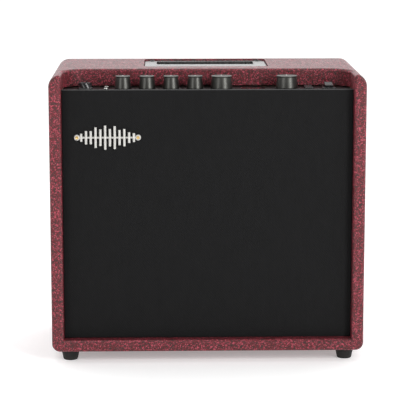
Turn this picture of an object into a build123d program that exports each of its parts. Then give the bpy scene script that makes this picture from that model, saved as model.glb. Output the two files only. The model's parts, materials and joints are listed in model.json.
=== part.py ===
from build123d import *

from math import hypot
from pathlib import Path

# A combo guitar amplifier, in millimetres. The origin is the middle of the
# underside of its feet: +X is to the right seen from the front, +Y runs to the
# back and +Z is up. A "depth" is a distance behind the front edge.

# Cabinet
WIDTH = 390.0
DEPTH = 208.0
BODY_HEIGHT = 348.0
WALL = 15.0
TOP_RADIUS = 15.0
BOTTOM_RADIUS = 10.0
EDGE_RADIUS = 3.5
COVER = 0.8

# Control well, cut into the front of the top
WELL_DEPTH = 72.0
WELL_DROP = 22.5
WELL_RADIUS = 28.0
COVER_TUCK = 5.0
RAIL_DEPTH = 8.0
RAIL_GAP = 1.6
TIP_TRIM = 10.0
PANEL_THICKNESS = 2.0

# Front
CLOTH_DEPTH = 12.0
CLOTH = 0.8
FRAME_THICKNESS = 9.2
FRAME_BORDER = 24.0
GRILLE_RISE = 2.3
BAFFLE_THICKNESS = 12.0

# Badge on the grille
BADGE_INSET = 56.5
BADGE_DROP = 78.5
BADGE_THICKNESS = 3.0
BADGE_SPINE = 2.4
BADGE_PAD = 3.6
BADGE_BAR = 3.2
BADGE_PITCH = 5.9
BADGE_BARS = (8.0, 13.0, 21.0, 13.0, 26.0, 17.0, 30.0, 20.0, 25.0, 12.0, 17.0, 9.0)
BADGE_BLOCK = 28.0
BADGE_BLOCK_WIDTH = 110.0

# Back
BACK_INSET = 9.0
BACK_THICKNESS = 9.0
LOWER_BACK = 100.0
BACK_OPENING = 95.0
CLEAT = 15.0
COVER_RETURN = 20.0

# Feet
FOOT_HEIGHT = 14.0
FOOT_RADIUS = 11.5
FOOT_TOE_RADIUS = 9.0
FOOT_INSET = 22.0

# Recessed handle
HANDLE_BEHIND = 10.0
HANDLE_SUNK = 2.0
HANDLE_FLANGE = 2.5
HANDLE_CORNER = 6.0
SLOT_WIDTH = 127.0
SLOT_DEPTH = 37.0
PLATE_ENDS = 15.8
PLATE_LEAD = 46.5
PLATE_BEHIND = 12.0
CUP_LEAD = 31.0
CUP_DROP = 44.0
CUP_WALL = 2.0
GRIP_THICKNESS = 12.0
HANDLE_SCREW_INSET_X = 10.0
HANDLE_SCREW_INSET_Y = 6.0

# Chassis under the control panel
CHASSIS_DROP = 37.5
CHASSIS_SHEET = 1.2
CHASSIS_GAP = 1.0
BOARD_THICKNESS = 1.6
BOARD_INSET = 42.0
BOARD_BLOCKS = ((-0.72, 22, 8), (-0.45, 30, 4), (-0.2, 14, 14), (0.22, 26, 4), (0.52, 18, 12))
BODY_DROP = 10.0
STANDOFF_RADIUS = 3.0

# Places of the controls across the panel, as shares of its half width
POT_SHARES = {"gain": -0.5833, "volume": -0.4167, "treble": -0.25, "bass": -0.0833, "master": 0.1}
DISPLAY_SHARE = 0.3206
ENCODER_SHARE = 0.5522
BUTTON_SHARE = 0.7056
SWITCH_SHARE = 0.8461
INPUT_SHARE = -0.845
SMALL_JACK_SHARE = -0.7

# Rotary controls, all on one line behind the front edge
CONTROL_DEPTH = 46.0
KNOB_TOP_BELOW = 6.0
KNOB_GAP = 0.5
KNOB_RADII = {"small": (10.6, 9.3), "large": (13.9, 12.8)}
KNOB_LIP = 0.7
KNOB_RIM = 1.3
KNOB_WALL = 2.2
KNOB_RECESS = 6.0
KNOB_SOLID_TOP = 3.0
POINTER_WIDTH = 1.0
POINTER_DEPTH = 0.7
SHAFT_RADIUS = 3.0
POT_RADIUS = 8.5
BUSHING_WALL = 0.5
BUSHING_RISE = 5.0
POT_FLOOR = 1.5
NUT_WALL = 2.5
NUT_HEIGHT = 2.0
ENCODER_SQUARE = 14.0
ENCODER_BUSHING_WALL = 1.0
ENCODER_BUSHING_RISE = 4.0
CARRIER_WALL = 1.0
ENCODER_PRESS = 0.5
SHOULDER = 1.0

# Display
DISPLAY_CENTRE = 52.0
DISPLAY_WIDTH = 30.0
DISPLAY_DEPTH = 22.0
WINDOW_PROUD = 0.3
DISPLAY_BORDER = 2.0

# Push buttons, in a column that runs front to back
BUTTON_WIDTH = 10.2
BUTTON_LENGTH = 6.2
BUTTON_FIRST = 40.5
BUTTON_PITCH = 8.5
BUTTON_COUNT = 4
BUTTON_RISE = 2.2
BUTTON_TRAVEL = 0.8
BUTTON_LIP = 1.1
BUTTON_LIP_THICKNESS = 1.0
BUTTON_STEM = 3.0
TACT_SQUARE = 6.0
TACT_HEIGHT = 3.5

# Power switch
SWITCH_SHIFT = 4.0
SWITCH_WIDTH = 16.6
SWITCH_LENGTH = 24.0
SWITCH_BEZEL = 2.0
SWITCH_BODY_DROP = 20.0
SWITCH_OVERLAP = 1.0
ROCKER_WIDTH = 9.6
ROCKER_REACH = 9.0
ROCKER_SWING = 16.0
ROCKER_RISE = 5.15
ROCKER_BELOW = 3.0
ROCKER_PIVOT_RISE = 1.0
ROCKER_DISH = 1.6
PIVOT_RADIUS = 0.8
PIVOT_LENGTH = 1.6

# Jacks
INPUT_COLLAR_RADIUS = 9.9
INPUT_COLLAR = 2.2
INPUT_NUT_RADIUS = 8.6
INPUT_RISE = 8.2
INPUT_BORE = 3.25
INPUT_BARREL = 6.0
INPUT_BODY = (20.0, 30.0, 26.0)
AUX_DEPTH = 40.5
PHONES_DEPTH = 60.0
SMALL_JACK_RISE = 2.2
SMALL_JACK_RADIUS = 3.1
SMALL_BARREL = 2.6
SMALL_BORE = 1.8
SMALL_BODY = 8.4

# Loudspeaker, screwed to the back of the baffle
SPEAKER_CLEARANCE = 15.0
BASKET_FLANGE = 11.0
BASKET_SHEET = 1.5
BASKET_BACK_RADIUS = 50.0
BASKET_DEPTH = 52.0
BASKET_WINDOWS = 6
BAFFLE_HOLE_RADIUS = 93.0
SURROUND_INSET = 1.0
ROLL_WIDTH = 16.0
SURROUND_SHEET = 0.8
SURROUND_RISE = 5.0
LIP = 5.0
CONE_SHEET = 0.8
CONE_GAP = 4.0
COIL_RADIUS = 13.6
COIL_WALL = 0.6
COIL_GAP = 0.45
COIL_REACH = 16.0
DUST_CAP_RADIUS = 24.0
DUST_CAP_RISE = 8.0
SPIDER_INSET = 3.0
SPIDER_LEAD = 8.0
SPIDER_WAVE = 1.6
SPIDER_FOLDS = 5
PLATE_THICKNESS = 6.0
PLATE_INSET = 5.0
MAGNET_RADIUS = 50.0
MAGNET_HOLE = 24.0
MAGNET_THICKNESS = 18.0
SPEAKER_SCREWS = 8

# Mains inlet and power supply
INLET_INSET = 60.0
INLET_WIDTH = 27.0
INLET_HEIGHT = 20.0
INLET_FLANGE_WIDTH = 50.0
INLET_FLANGE_HEIGHT = 28.0
INLET_FLANGE = 2.5
INLET_DEPTH = 26.0
INLET_WALL = 2.2
SUPPLY_SHARE = -0.344
SUPPLY_WIDTH = 120.0
SUPPLY_LENGTH = 46.0
SUPPLY_STANDOFF = 6.0

# Fits
FIT = 0.1
SLIDE = 0.4
RUNNING = 0.05

# Places worked out from the sizes above
FRONT = -DEPTH / 2
BACK = DEPTH / 2
SIDE = WIDTH / 2
INNER = SIDE - WALL
BASE = FOOT_HEIGHT
FLOOR = BASE + WALL
TOP = BASE + BODY_HEIGHT
CEILING = TOP - WALL
PANEL_TOP = TOP - WELL_DROP
PANEL_UNDER = PANEL_TOP - PANEL_THICKNESS
BAFFLE_START = CLOTH_DEPTH + CLOTH + FRAME_THICKNESS
BAFFLE_END = BAFFLE_START + BAFFLE_THICKNESS
BOARD_TOP = PANEL_UNDER - BODY_DROP
CHASSIS_FLOOR = PANEL_UNDER - CHASSIS_DROP
CONTROL_Y = FRONT + CONTROL_DEPTH
CHASSIS_START = BAFFLE_END + CHASSIS_GAP
CHASSIS_END = WELL_DEPTH + RAIL_DEPTH
BASKET_RADIUS = BAFFLE_HOLE_RADIUS + BASKET_FLANGE
SPEAKER_SCREW_RADIUS = BAFFLE_HOLE_RADIUS + BASKET_FLANGE / 2
SPEAKER_Z = FLOOR + SPEAKER_CLEARANCE + BASKET_RADIUS
SURROUND_RADIUS = BAFFLE_HOLE_RADIUS - SURROUND_INSET
CONE_RADIUS = SURROUND_RADIUS - ROLL_WIDTH
SPIDER_RADIUS = BASKET_BACK_RADIUS - SPIDER_INSET
SPIDER_DEPTH = BASKET_DEPTH - SPIDER_LEAD
CONE_DEPTH = SPIDER_DEPTH - CONE_GAP
COIL_END = BASKET_DEPTH + COIL_REACH
PLATE_RADIUS = MAGNET_RADIUS - PLATE_INSET
BUSHING_RADIUS = SHAFT_RADIUS + BUSHING_WALL
NUT_RADIUS = BUSHING_RADIUS + NUT_WALL
CARRIER_RADIUS = SHAFT_RADIUS + CARRIER_WALL
ENCODER_BUSHING_RADIUS = CARRIER_RADIUS + ENCODER_BUSHING_WALL
ENCODER_NUT_RADIUS = ENCODER_BUSHING_RADIUS + NUT_WALL
POT_X = {name: share * INNER for name, share in POT_SHARES.items()}
DISPLAY_X = DISPLAY_SHARE * INNER
ENCODER_X = ENCODER_SHARE * INNER
BUTTON_X = BUTTON_SHARE * INNER
SWITCH_X = SWITCH_SHARE * INNER
INPUT_X = INPUT_SHARE * INNER
SMALL_JACK_X = SMALL_JACK_SHARE * INNER
BOARD_HALF = INNER - BOARD_INSET
SUPPLY_X = SUPPLY_SHARE * INNER
INLET_X = INNER - INLET_INSET
BADGE_X = BADGE_INSET - INNER
BACK_FACE = BACK - BACK_INSET
BACK_START = BACK_FACE - BACK_THICKNESS
OPENING_LOW = FLOOR + LOWER_BACK
OPENING_HIGH = OPENING_LOW + BACK_OPENING
HANDLE_WIDTH = SLOT_WIDTH + 2 * PLATE_ENDS
HANDLE_END = BACK - HANDLE_BEHIND
HANDLE_START = HANDLE_END - PLATE_BEHIND - SLOT_DEPTH - PLATE_LEAD
SLOT_START = HANDLE_START + PLATE_LEAD
CUP_START = SLOT_START - CUP_LEAD
CUP_END = SLOT_START + SLOT_DEPTH + CUP_WALL
HANDLE_FACE = TOP - HANDLE_SUNK
HANDLE_UNDER = HANDLE_FACE - HANDLE_FLANGE
CUP_FLOOR = TOP - CUP_DROP
FRAME_TOP = PANEL_TOP + GRILLE_RISE - CLOTH
BADGE_Z = TOP - BADGE_DROP
BADGE_END = BADGE_PITCH * (len(BADGE_BARS) - 1) / 2 + BADGE_BAR / 2 + 2 * BADGE_PAD
INLET_Z = (OPENING_HIGH + CEILING) / 2


def block(x0, x1, y0, y1, z0, z1):
    """A box between two corners."""
    centre = Pos((x0 + x1) / 2, (y0 + y1) / 2, (z0 + z1) / 2)
    return centre * Box(x1 - x0, y1 - y0, z1 - z0)


def slab(x, y, width, length, z0, z1):
    """An upright box centred on X and Y."""
    return Pos(x, y, (z0 + z1) / 2) * Box(width, length, z1 - z0)


def post(x, y, radius, z0, z1):
    """An upright cylinder."""
    return Pos(x, y, (z0 + z1) / 2) * Cylinder(radius, z1 - z0)


def tube(x, y, outer, inner, z0, z1):
    """An upright cylinder with a hole right through."""
    return post(x, y, outer, z0, z1) - post(x, y, inner, z0 - 1, z1 + 1)


def hexagon(x, y, radius, z0, z1):
    """An upright hexagonal bar."""
    return Pos(x, y, z0) * extrude(RegularPolygon(radius, 6), z1 - z0)


def turned(points):
    """A body of revolution about Z from (radius, height) points."""
    outline = Polyline([(radius, 0, height) for radius, height in points], close=True)
    return revolve(make_face(outline), Axis.Z)


def edges_on(shape, axis, place):
    """The edges that lie wholly in one plane across an axis."""
    found = []
    for edge in shape.edges():
        box = edge.bounding_box()
        low, high = (getattr(corner, axis) for corner in (box.min, box.max))
        if abs(low - place) < 1e-4 and abs(high - place) < 1e-4:
            found.append(edge)
    return found


def screw(head_radius, head_height, shank_radius, length):
    """A pan-head screw: head above Z = 0, shank and point below it."""
    head = Pos(0, 0, head_height / 2) * Cylinder(head_radius, head_height)
    head = fillet(head.edges().group_by(Axis.Z)[-1], head_height * 0.6)
    slot = Box(head_radius * 1.1, head_radius * 0.28, head_height)
    cross = slot + Rot(0, 0, 90) * slot
    head -= Pos(0, 0, head_height) * cross
    point = 2 * shank_radius
    shank = turned([
        (0, 0), (shank_radius, 0), (shank_radius, point - length), (0, -length),
    ])
    return head + shank


def clearance(screws, shank_radius, length, direction):
    """Straight holes for the shanks of screws at the given places."""
    hole = Pos(0, 0, -length / 2) * Cylinder(shank_radius + FIT, length)
    return [place * direction * hole for place in screws]


# ---------------------------------------------------------------- cabinet


def well(grow):
    """The space of the control well, open to the front and the top."""
    reach = INNER + grow
    low = PANEL_UNDER - COVER_TUCK
    space = block(-reach, reach, FRONT - 10, FRONT + WELL_DEPTH + grow, low, TOP + 10)
    corners = space.edges().filter_by(Axis.Z).group_by(Axis.Y)[-1]
    return fillet(corners, WELL_RADIUS + grow)


def cabinet(inset):
    """The open box of the cabinet, shrunk by the thickness of its covering."""
    body = block(-SIDE + inset, SIDE - inset, FRONT + inset, BACK - inset,
                 BASE + inset, TOP - inset)
    rows = body.edges().filter_by(Axis.Y).group_by(Axis.Z)
    body = fillet(rows[-1], TOP_RADIUS - inset)
    rows = body.edges().filter_by(Axis.Y).group_by(Axis.Z)
    body = fillet(rows[0], BOTTOM_RADIUS - inset)
    body -= block(-INNER, INNER, FRONT, BACK, FLOOR, CEILING)
    if inset:
        reach = INNER + inset
        body -= block(-reach, reach, FRONT, FRONT + BAFFLE_START, FLOOR - inset, TOP)
        body -= block(-reach, reach, BACK - COVER_RETURN, BACK,
                      FLOOR - inset, CEILING + inset)
    rail_start = FRONT + WELL_DEPTH - WELL_RADIUS
    rail_end = FRONT + WELL_DEPTH + RAIL_DEPTH
    body += block(-INNER, INNER, rail_start, rail_end, PANEL_TOP + RAIL_GAP, CEILING)
    body -= well(inset)
    rim = [edge for edge in body.edges()
           if edge.bounding_box().min.Z > TOP - inset - 0.1
           and edge.center().Y < FRONT + WELL_DEPTH + inset + 0.1]
    ends = edges_on(body, "Y", BACK - inset) + edges_on(body, "Y", FRONT + inset)
    return fillet(rim + ends, EDGE_RADIUS - inset)


def handle_cup(grow):
    """The outside of the handle's cup, below its flange."""
    reach = SLOT_WIDTH / 2 + CUP_WALL + grow
    return block(-reach, reach, CUP_START - grow, CUP_END + grow,
                 CUP_FLOOR - grow, HANDLE_FACE - HANDLE_FLANGE / 2)


def handle_flange(grow, z0, z1):
    """The handle's plate, or the pocket that it sits in."""
    reach = HANDLE_WIDTH / 2 + grow
    plate = block(-reach, reach, HANDLE_START - grow, HANDLE_END + grow, z0, z1)
    return fillet(plate.edges().filter_by(Axis.Z), HANDLE_CORNER + grow)


def handle_screw_places():
    """Tops of the four screws that hold the handle."""
    x = HANDLE_WIDTH / 2 - HANDLE_SCREW_INSET_X
    near = HANDLE_START + HANDLE_SCREW_INSET_Y
    far = HANDLE_END - HANDLE_SCREW_INSET_Y
    return [Pos(sx * x, y, HANDLE_FACE) for sx in (-1, 1) for y in (near, far)]


def foot_places():
    """Centres of the four feet, at the underside of the cabinet."""
    x = SIDE - FOOT_INSET
    y = BACK - FOOT_INSET
    return [Pos(sx * x, sy * y, BASE) for sx in (-1, 1) for sy in (-1, 1)]


def back_screw_places():
    """Screws round both rear panels, into the cleats."""
    x = INNER - CLEAT / 2
    heights = [FLOOR + CLEAT / 2, OPENING_LOW - CLEAT, OPENING_HIGH + CLEAT,
               CEILING - CLEAT / 2]
    return [Pos(sx * x, BACK_FACE, z) for z in heights for sx in (-1, 1)]


def chassis_screw_places():
    """Screws through each end of the chassis into the sides."""
    z = (CHASSIS_FLOOR + BOARD_TOP) / 2
    depths = (CHASSIS_START + 10, CHASSIS_END - 10)
    reach = INNER - CHASSIS_SHEET
    left = [Pos(-reach, FRONT + depth, z) * Rot(0, 90, 0) for depth in depths]
    right = [Pos(reach, FRONT + depth, z) * Rot(0, -90, 0) for depth in depths]
    return left + right


def woodwork():
    """The four boards and the rail behind the well, and their vinyl covering."""
    bare = cabinet(COVER)
    covering = cabinet(0) - bare
    feet_holes = clearance(foot_places(), 2.0, 12, Rot(180, 0, 0))
    chassis_holes = clearance(chassis_screw_places(), 1.6, 12, Rot(0, 0, 0))
    handle_holes = clearance(handle_screw_places(), 1.8, 12, Rot(0, 0, 0))
    lined = handle_flange(FIT * 3 + COVER, HANDLE_UNDER, TOP)
    pocket = handle_flange(FIT * 3, HANDLE_UNDER - 1, TOP + 1) + handle_cup(FIT * 5)
    wide, tall = SIDE + 1, TOP + 1
    right = bare & block(INNER, wide, -wide, wide, 0, tall)
    left = bare & block(-wide, -INNER, -wide, wide, 0, tall)
    top = bare & block(-INNER, INNER, -wide, wide, CEILING, tall)
    bottom = bare & block(-INNER, INNER, -wide, wide, 0, FLOOR)
    rail = bare & block(-INNER, INNER, -wide, wide, PANEL_TOP, CEILING)
    tip = FRONT + WELL_DEPTH - WELL_RADIUS + TIP_TRIM
    top -= block(-wide, wide, -wide, tip, CEILING - 1, tall)
    top -= lined + handle_cup(FIT * 5)
    for hole in handle_holes:
        top -= hole
    for hole in feet_holes:
        bottom -= hole
        left -= hole
        right -= hole
        covering -= hole
    for hole in chassis_holes:
        left -= hole
        right -= hole
    return {
        "side_left": left,
        "side_right": right,
        "top_panel": top,
        "bottom_panel": bottom,
        "recess_rail": rail,
        "covering": covering + lined - pocket,
    }


def feet():
    """Four tapered rubber feet with a counterbore for the screw."""
    foot = turned([
        (0, 0), (FOOT_RADIUS, 0), (FOOT_RADIUS, -2), (FOOT_TOE_RADIUS, -FOOT_HEIGHT),
        (0, -FOOT_HEIGHT),
    ])
    toe = foot.edges().group_by(Axis.Z)[0]
    foot = fillet(toe, 1.5)
    foot -= Pos(0, 0, -FOOT_HEIGHT) * Cylinder(5.0, 12)
    foot -= Cylinder(2.0 + FIT, 60)
    fixing = Rot(180, 0, 0) * screw(4.2, 2.2, 2.0, 18)
    seat = Pos(0, 0, 6 - FOOT_HEIGHT)
    return {
        "feet": Compound([place * foot for place in foot_places()]),
        "foot_screws": Compound([place * seat * fixing for place in foot_places()]),
    }


def handle():
    """The moulded recessed handle: a plate with a hand slot over a cup."""
    reach = SLOT_WIDTH / 2
    body = handle_flange(0, HANDLE_UNDER, HANDLE_FACE)
    body = fillet(body.edges().group_by(Axis.Z)[-1], 1.2)
    body += handle_cup(0)
    body -= block(-reach, reach, CUP_START + CUP_WALL, SLOT_START + SLOT_DEPTH,
                  CUP_FLOOR + CUP_WALL, HANDLE_UNDER)
    grip = block(-reach, reach, CUP_START + CUP_WALL, SLOT_START,
                 HANDLE_UNDER - GRIP_THICKNESS, HANDLE_UNDER)
    under = grip.edges().filter_by(Axis.X).group_by(Axis.Z)[0]
    body += fillet(under, 5.0)
    opening = block(-reach, reach, SLOT_START, SLOT_START + SLOT_DEPTH, CUP_FLOOR + CUP_WALL,
                    TOP + 1)
    body -= fillet(opening.edges().filter_by(Axis.Z), 3.0)
    fixing = screw(3.6, 1.2, 1.8, 11)
    for hole in clearance(handle_screw_places(), 1.8, 8, Rot(0, 0, 0)):
        body -= hole
    return {
        "handle_insert": body,
        "handle_screws": Compound([place * fixing for place in handle_screw_places()]),
    }


def rear():
    """Two rear panels with an opening between them, their cleats and screws."""
    start = BACK_START - CLEAT
    cleats = [
        block(sx * INNER - (CLEAT if sx > 0 else 0), sx * INNER + (0 if sx > 0 else CLEAT),
              start, BACK_START, FLOOR, CEILING)
        for sx in (-1, 1)
    ]
    reach = INNER - CLEAT
    cleats.append(block(-reach, reach, start, BACK_START, FLOOR, FLOOR + CLEAT))
    gap = SLOT_WIDTH / 2 + CUP_WALL + SLIDE
    for x0, x1 in ((-reach, -gap), (gap, reach)):
        cleats.append(block(x0, x1, start, BACK_START, CEILING - CLEAT, CEILING))
    across = INNER - FIT * 3
    lower = block(-across, across, BACK_START, BACK_FACE, FLOOR + FIT, OPENING_LOW)
    upper = block(-across, across, BACK_START, BACK_FACE, OPENING_HIGH, CEILING - FIT)
    lower = fillet(lower.edges().filter_by(Axis.X).group_by(Axis.Z)[-1], 3.0)
    upper = fillet(upper.edges().filter_by(Axis.X).group_by(Axis.Z)[0], 3.0)
    upper -= block(INLET_X - INLET_WIDTH / 2 - FIT, INLET_X + INLET_WIDTH / 2 + FIT,
                   BACK_START - 1, BACK_FACE + 1, INLET_Z - INLET_HEIGHT / 2 - FIT,
                   INLET_Z + INLET_HEIGHT / 2 + FIT)
    for hole in clearance(back_screw_places(), 1.8, 22, Rot(-90, 0, 0)):
        lower -= hole
        upper -= hole
        cleats = [cleat - hole for cleat in cleats]
    fixing = Rot(-90, 0, 0) * screw(4.0, 2.2, 1.8, 20)
    return {
        "cleats": Compound(cleats),
        "rear_panel_upper": upper,
        "rear_panel_lower": lower,
        "rear_panel_screws": Compound([place * fixing for place in back_screw_places()]),
    }


# ------------------------------------------------------------------ front


def badge_pin_places():
    """The two pins of the badge, at its front face."""
    x = BADGE_END - BADGE_PAD
    y = FRONT + CLOTH_DEPTH - BADGE_THICKNESS
    return [Pos(BADGE_X + sx * x, y, BADGE_Z) for sx in (-1, 1)]


def grille():
    """The grille's frame, its cloth, and a sound-wave badge held by two pins."""
    across = INNER - FIT - CLOTH
    low = FLOOR + FIT + CLOTH
    y0 = FRONT + CLOTH_DEPTH
    y1 = FRONT + BAFFLE_START
    frame = block(-across, across, y0 + CLOTH, y1, low, FRAME_TOP)
    cloth = block(-across - CLOTH, across + CLOTH, y0, y1, low - CLOTH, FRAME_TOP + CLOTH)
    cloth -= frame
    inside = across - FRAME_BORDER
    frame -= block(-inside, inside, y0, y1, low + FRAME_BORDER, FRAME_TOP - FRAME_BORDER)
    frame += block(-inside - 1, -inside + BADGE_BLOCK_WIDTH, y0 + CLOTH, y1,
                   BADGE_Z - BADGE_BLOCK / 2, BADGE_Z + BADGE_BLOCK / 2)
    pin = Rot(90, 0, 0) * screw(2.0, 1.0, 0.9, 12)
    for hole in clearance(badge_pin_places(), 0.9, 12, Rot(90, 0, 0)):
        frame -= hole
        cloth -= hole
    return {
        "grille_frame": frame,
        "grille_cloth": cloth,
        "badge": badge(),
        "badge_pins": Compound([place * pin for place in badge_pin_places()]),
    }


def badge():
    """Rounded upright bars of different heights on one thin spine."""
    first = -BADGE_PITCH * (len(BADGE_BARS) - 1) / 2
    spine = Rectangle(2 * (BADGE_END - BADGE_PAD), BADGE_SPINE)
    for index, height in enumerate(BADGE_BARS):
        bar = SlotOverall(height, BADGE_BAR, rotation=90)
        spine += Pos(first + index * BADGE_PITCH, 0) * bar
    for sx in (-1, 1):
        spine += Pos(sx * (BADGE_END - BADGE_PAD), 0) * Circle(BADGE_PAD)
    plate = extrude(spine, BADGE_THICKNESS)
    plate = chamfer(plate.faces().sort_by(Axis.Z)[-1].edges(), 0.5)
    plate = Pos(BADGE_X, FRONT + CLOTH_DEPTH, BADGE_Z) * Rot(90, 0, 0) * plate
    for hole in clearance(badge_pin_places(), 0.9, 12, Rot(90, 0, 0)):
        plate -= hole
    return plate


def speaker_place(shape):
    """Stands a part turned about Z on the back of the baffle, facing forwards."""
    return Pos(0, FRONT + BAFFLE_END, SPEAKER_Z) * Rot(-90, 0, 0) * shape


def speaker_screw_places():
    """Screws through the basket's flange, on one circle."""
    turn = 360 / SPEAKER_SCREWS
    return [Rot(0, 0, turn * (index + 0.5)) * Pos(SPEAKER_SCREW_RADIUS, 0, BASKET_SHEET)
            for index in range(SPEAKER_SCREWS)]


def baffle():
    """The board that carries the loudspeaker."""
    board = block(-INNER, INNER, FRONT + BAFFLE_START, FRONT + BAFFLE_END, FLOOR, PANEL_UNDER)
    board -= speaker_place(Cylinder(BAFFLE_HOLE_RADIUS, 4 * BAFFLE_THICKNESS))
    for hole in clearance(speaker_screw_places(), 1.8, 11, Rot(0, 0, 0)):
        board -= speaker_place(hole)
    return {"baffle": board}


def basket():
    """The speaker's steel frame, with windows round its side."""
    wall = BASKET_SHEET * 1.5
    foot, back = BASKET_BACK_RADIUS, BASKET_DEPTH
    lip = SURROUND_RADIUS - LIP
    outline = [
        (lip, 0), (BASKET_RADIUS, 0), (BASKET_RADIUS, BASKET_SHEET),
        (BAFFLE_HOLE_RADIUS + 1, BASKET_SHEET), (foot + wall, SPIDER_DEPTH),
        (foot, back + BASKET_SHEET), (MAGNET_HOLE, back + BASKET_SHEET),
        (MAGNET_HOLE, back), (foot - BASKET_SHEET, back),
        (foot - BASKET_SHEET, SPIDER_DEPTH + BASKET_SHEET),
        (SPIDER_RADIUS - LIP, SPIDER_DEPTH + BASKET_SHEET),
        (SPIDER_RADIUS - LIP, SPIDER_DEPTH), (foot, SPIDER_DEPTH),
        (BAFFLE_HOLE_RADIUS + 1 - wall, BASKET_SHEET), (lip, BASKET_SHEET),
    ]
    frame = turned(outline)
    turn = 360 / BASKET_WINDOWS
    window = Box(BASKET_RADIUS, BASKET_BACK_RADIUS * 0.96, SPIDER_DEPTH * 0.6)
    window = fillet(window.edges().filter_by(Axis.X), 8)
    for index in range(BASKET_WINDOWS):
        place = Pos(BASKET_RADIUS * 0.9, 0, SPIDER_DEPTH * 0.52)
        frame -= Rot(0, 0, turn * index) * place * window
    for hole in clearance(speaker_screw_places(), 1.8, 11, Rot(0, 0, 0)):
        frame -= hole
    return frame


def surround():
    """The half-round roll that lets the cone move."""
    sheet = SURROUND_SHEET
    inner, outer = CONE_RADIUS, SURROUND_RADIUS - LIP
    middle = (inner + outer) / 2
    roll = [
        ThreePointArc((inner, 0, -sheet), (middle, 0, -SURROUND_RISE - sheet),
                      (outer, 0, -sheet)),
        Line((outer, 0, -sheet), (outer - sheet, 0, 0)),
        ThreePointArc((outer - sheet, 0, 0), (middle, 0, -SURROUND_RISE),
                      (inner + sheet, 0, 0)),
        Line((inner + sheet, 0, 0), (inner, 0, -sheet)),
    ]
    flat = [(inner - LIP, -sheet), (inner + sheet, -sheet), (inner + sheet, 0),
            (inner - LIP, 0)]
    edge = [(outer - sheet, -sheet), (SURROUND_RADIUS, -sheet), (SURROUND_RADIUS, 0),
            (outer - sheet, 0)]
    return revolve(make_face(roll), Axis.Z) + turned(flat) + turned(edge)


def spider():
    """The pleated disc that centres the voice coil."""
    inner, outer = COIL_RADIUS + SLIDE, SPIDER_RADIUS - LIP
    step = (outer - inner) / (2 * SPIDER_FOLDS)
    base = SPIDER_DEPTH - SURROUND_SHEET
    front = [(inner + step * index, base - SPIDER_WAVE * (index % 2))
             for index in range(2 * SPIDER_FOLDS + 1)]
    front.append((SPIDER_RADIUS, base))
    behind = [(radius, height + SURROUND_SHEET) for radius, height in reversed(front)]
    return turned(front + behind)


def loudspeaker():
    """An eight-inch driver: basket, moving cone and coil, and magnet."""
    slant = CONE_DEPTH / (CONE_RADIUS - LIP - COIL_RADIUS)
    rim = CONE_RADIUS - LIP
    cone = turned([
        (COIL_RADIUS, CONE_DEPTH), (rim, 0), (CONE_RADIUS, 0), (CONE_RADIUS, CONE_SHEET),
        (rim, CONE_SHEET), (COIL_RADIUS, CONE_DEPTH + CONE_SHEET),
    ])
    cap_seat = (rim - DUST_CAP_RADIUS) * slant
    ball = (DUST_CAP_RADIUS ** 2 + DUST_CAP_RISE ** 2) / (2 * DUST_CAP_RISE)
    centre = Pos(0, 0, cap_seat - DUST_CAP_RISE + ball)
    cap = centre * (Sphere(ball) - Sphere(ball - CONE_SHEET))
    cap &= Pos(0, 0, cap_seat - DUST_CAP_RISE) * Cylinder(DUST_CAP_RADIUS, 2 * DUST_CAP_RISE)
    coil = tube(0, 0, COIL_RADIUS, COIL_RADIUS - COIL_WALL, CONE_DEPTH - 1, COIL_END)
    top = BASKET_DEPTH + BASKET_SHEET
    magnet_start = top + PLATE_THICKNESS
    magnet_end = magnet_start + MAGNET_THICKNESS
    top_plate = tube(0, 0, PLATE_RADIUS, COIL_RADIUS + COIL_GAP, top, magnet_start)
    back_plate = post(0, 0, PLATE_RADIUS, magnet_end, magnet_end + PLATE_THICKNESS)
    pole = post(0, 0, COIL_RADIUS - COIL_WALL - COIL_GAP, top, magnet_end)
    magnet = tube(0, 0, MAGNET_RADIUS, MAGNET_HOLE, magnet_start, magnet_end)
    fixing = screw(3.6, 1.8, 1.8, 11)
    parts = {
        "speaker_basket": basket(),
        "speaker_surround": surround(),
        "speaker_cone": cone,
        "dust_cap": cap,
        "voice_coil": coil,
        "speaker_spider": spider(),
        "speaker_plates": Compound([top_plate, back_plate + pole]),
        "speaker_magnet": magnet,
        "speaker_screws": Compound([place * fixing for place in speaker_screw_places()]),
    }
    return {name: speaker_place(shape) for name, shape in parts.items()}


# --------------------------------------------------------------- controls


def button_depths():
    """Distances of the push buttons behind the front edge."""
    return [BUTTON_FIRST + BUTTON_PITCH * index for index in range(BUTTON_COUNT)]


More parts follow.
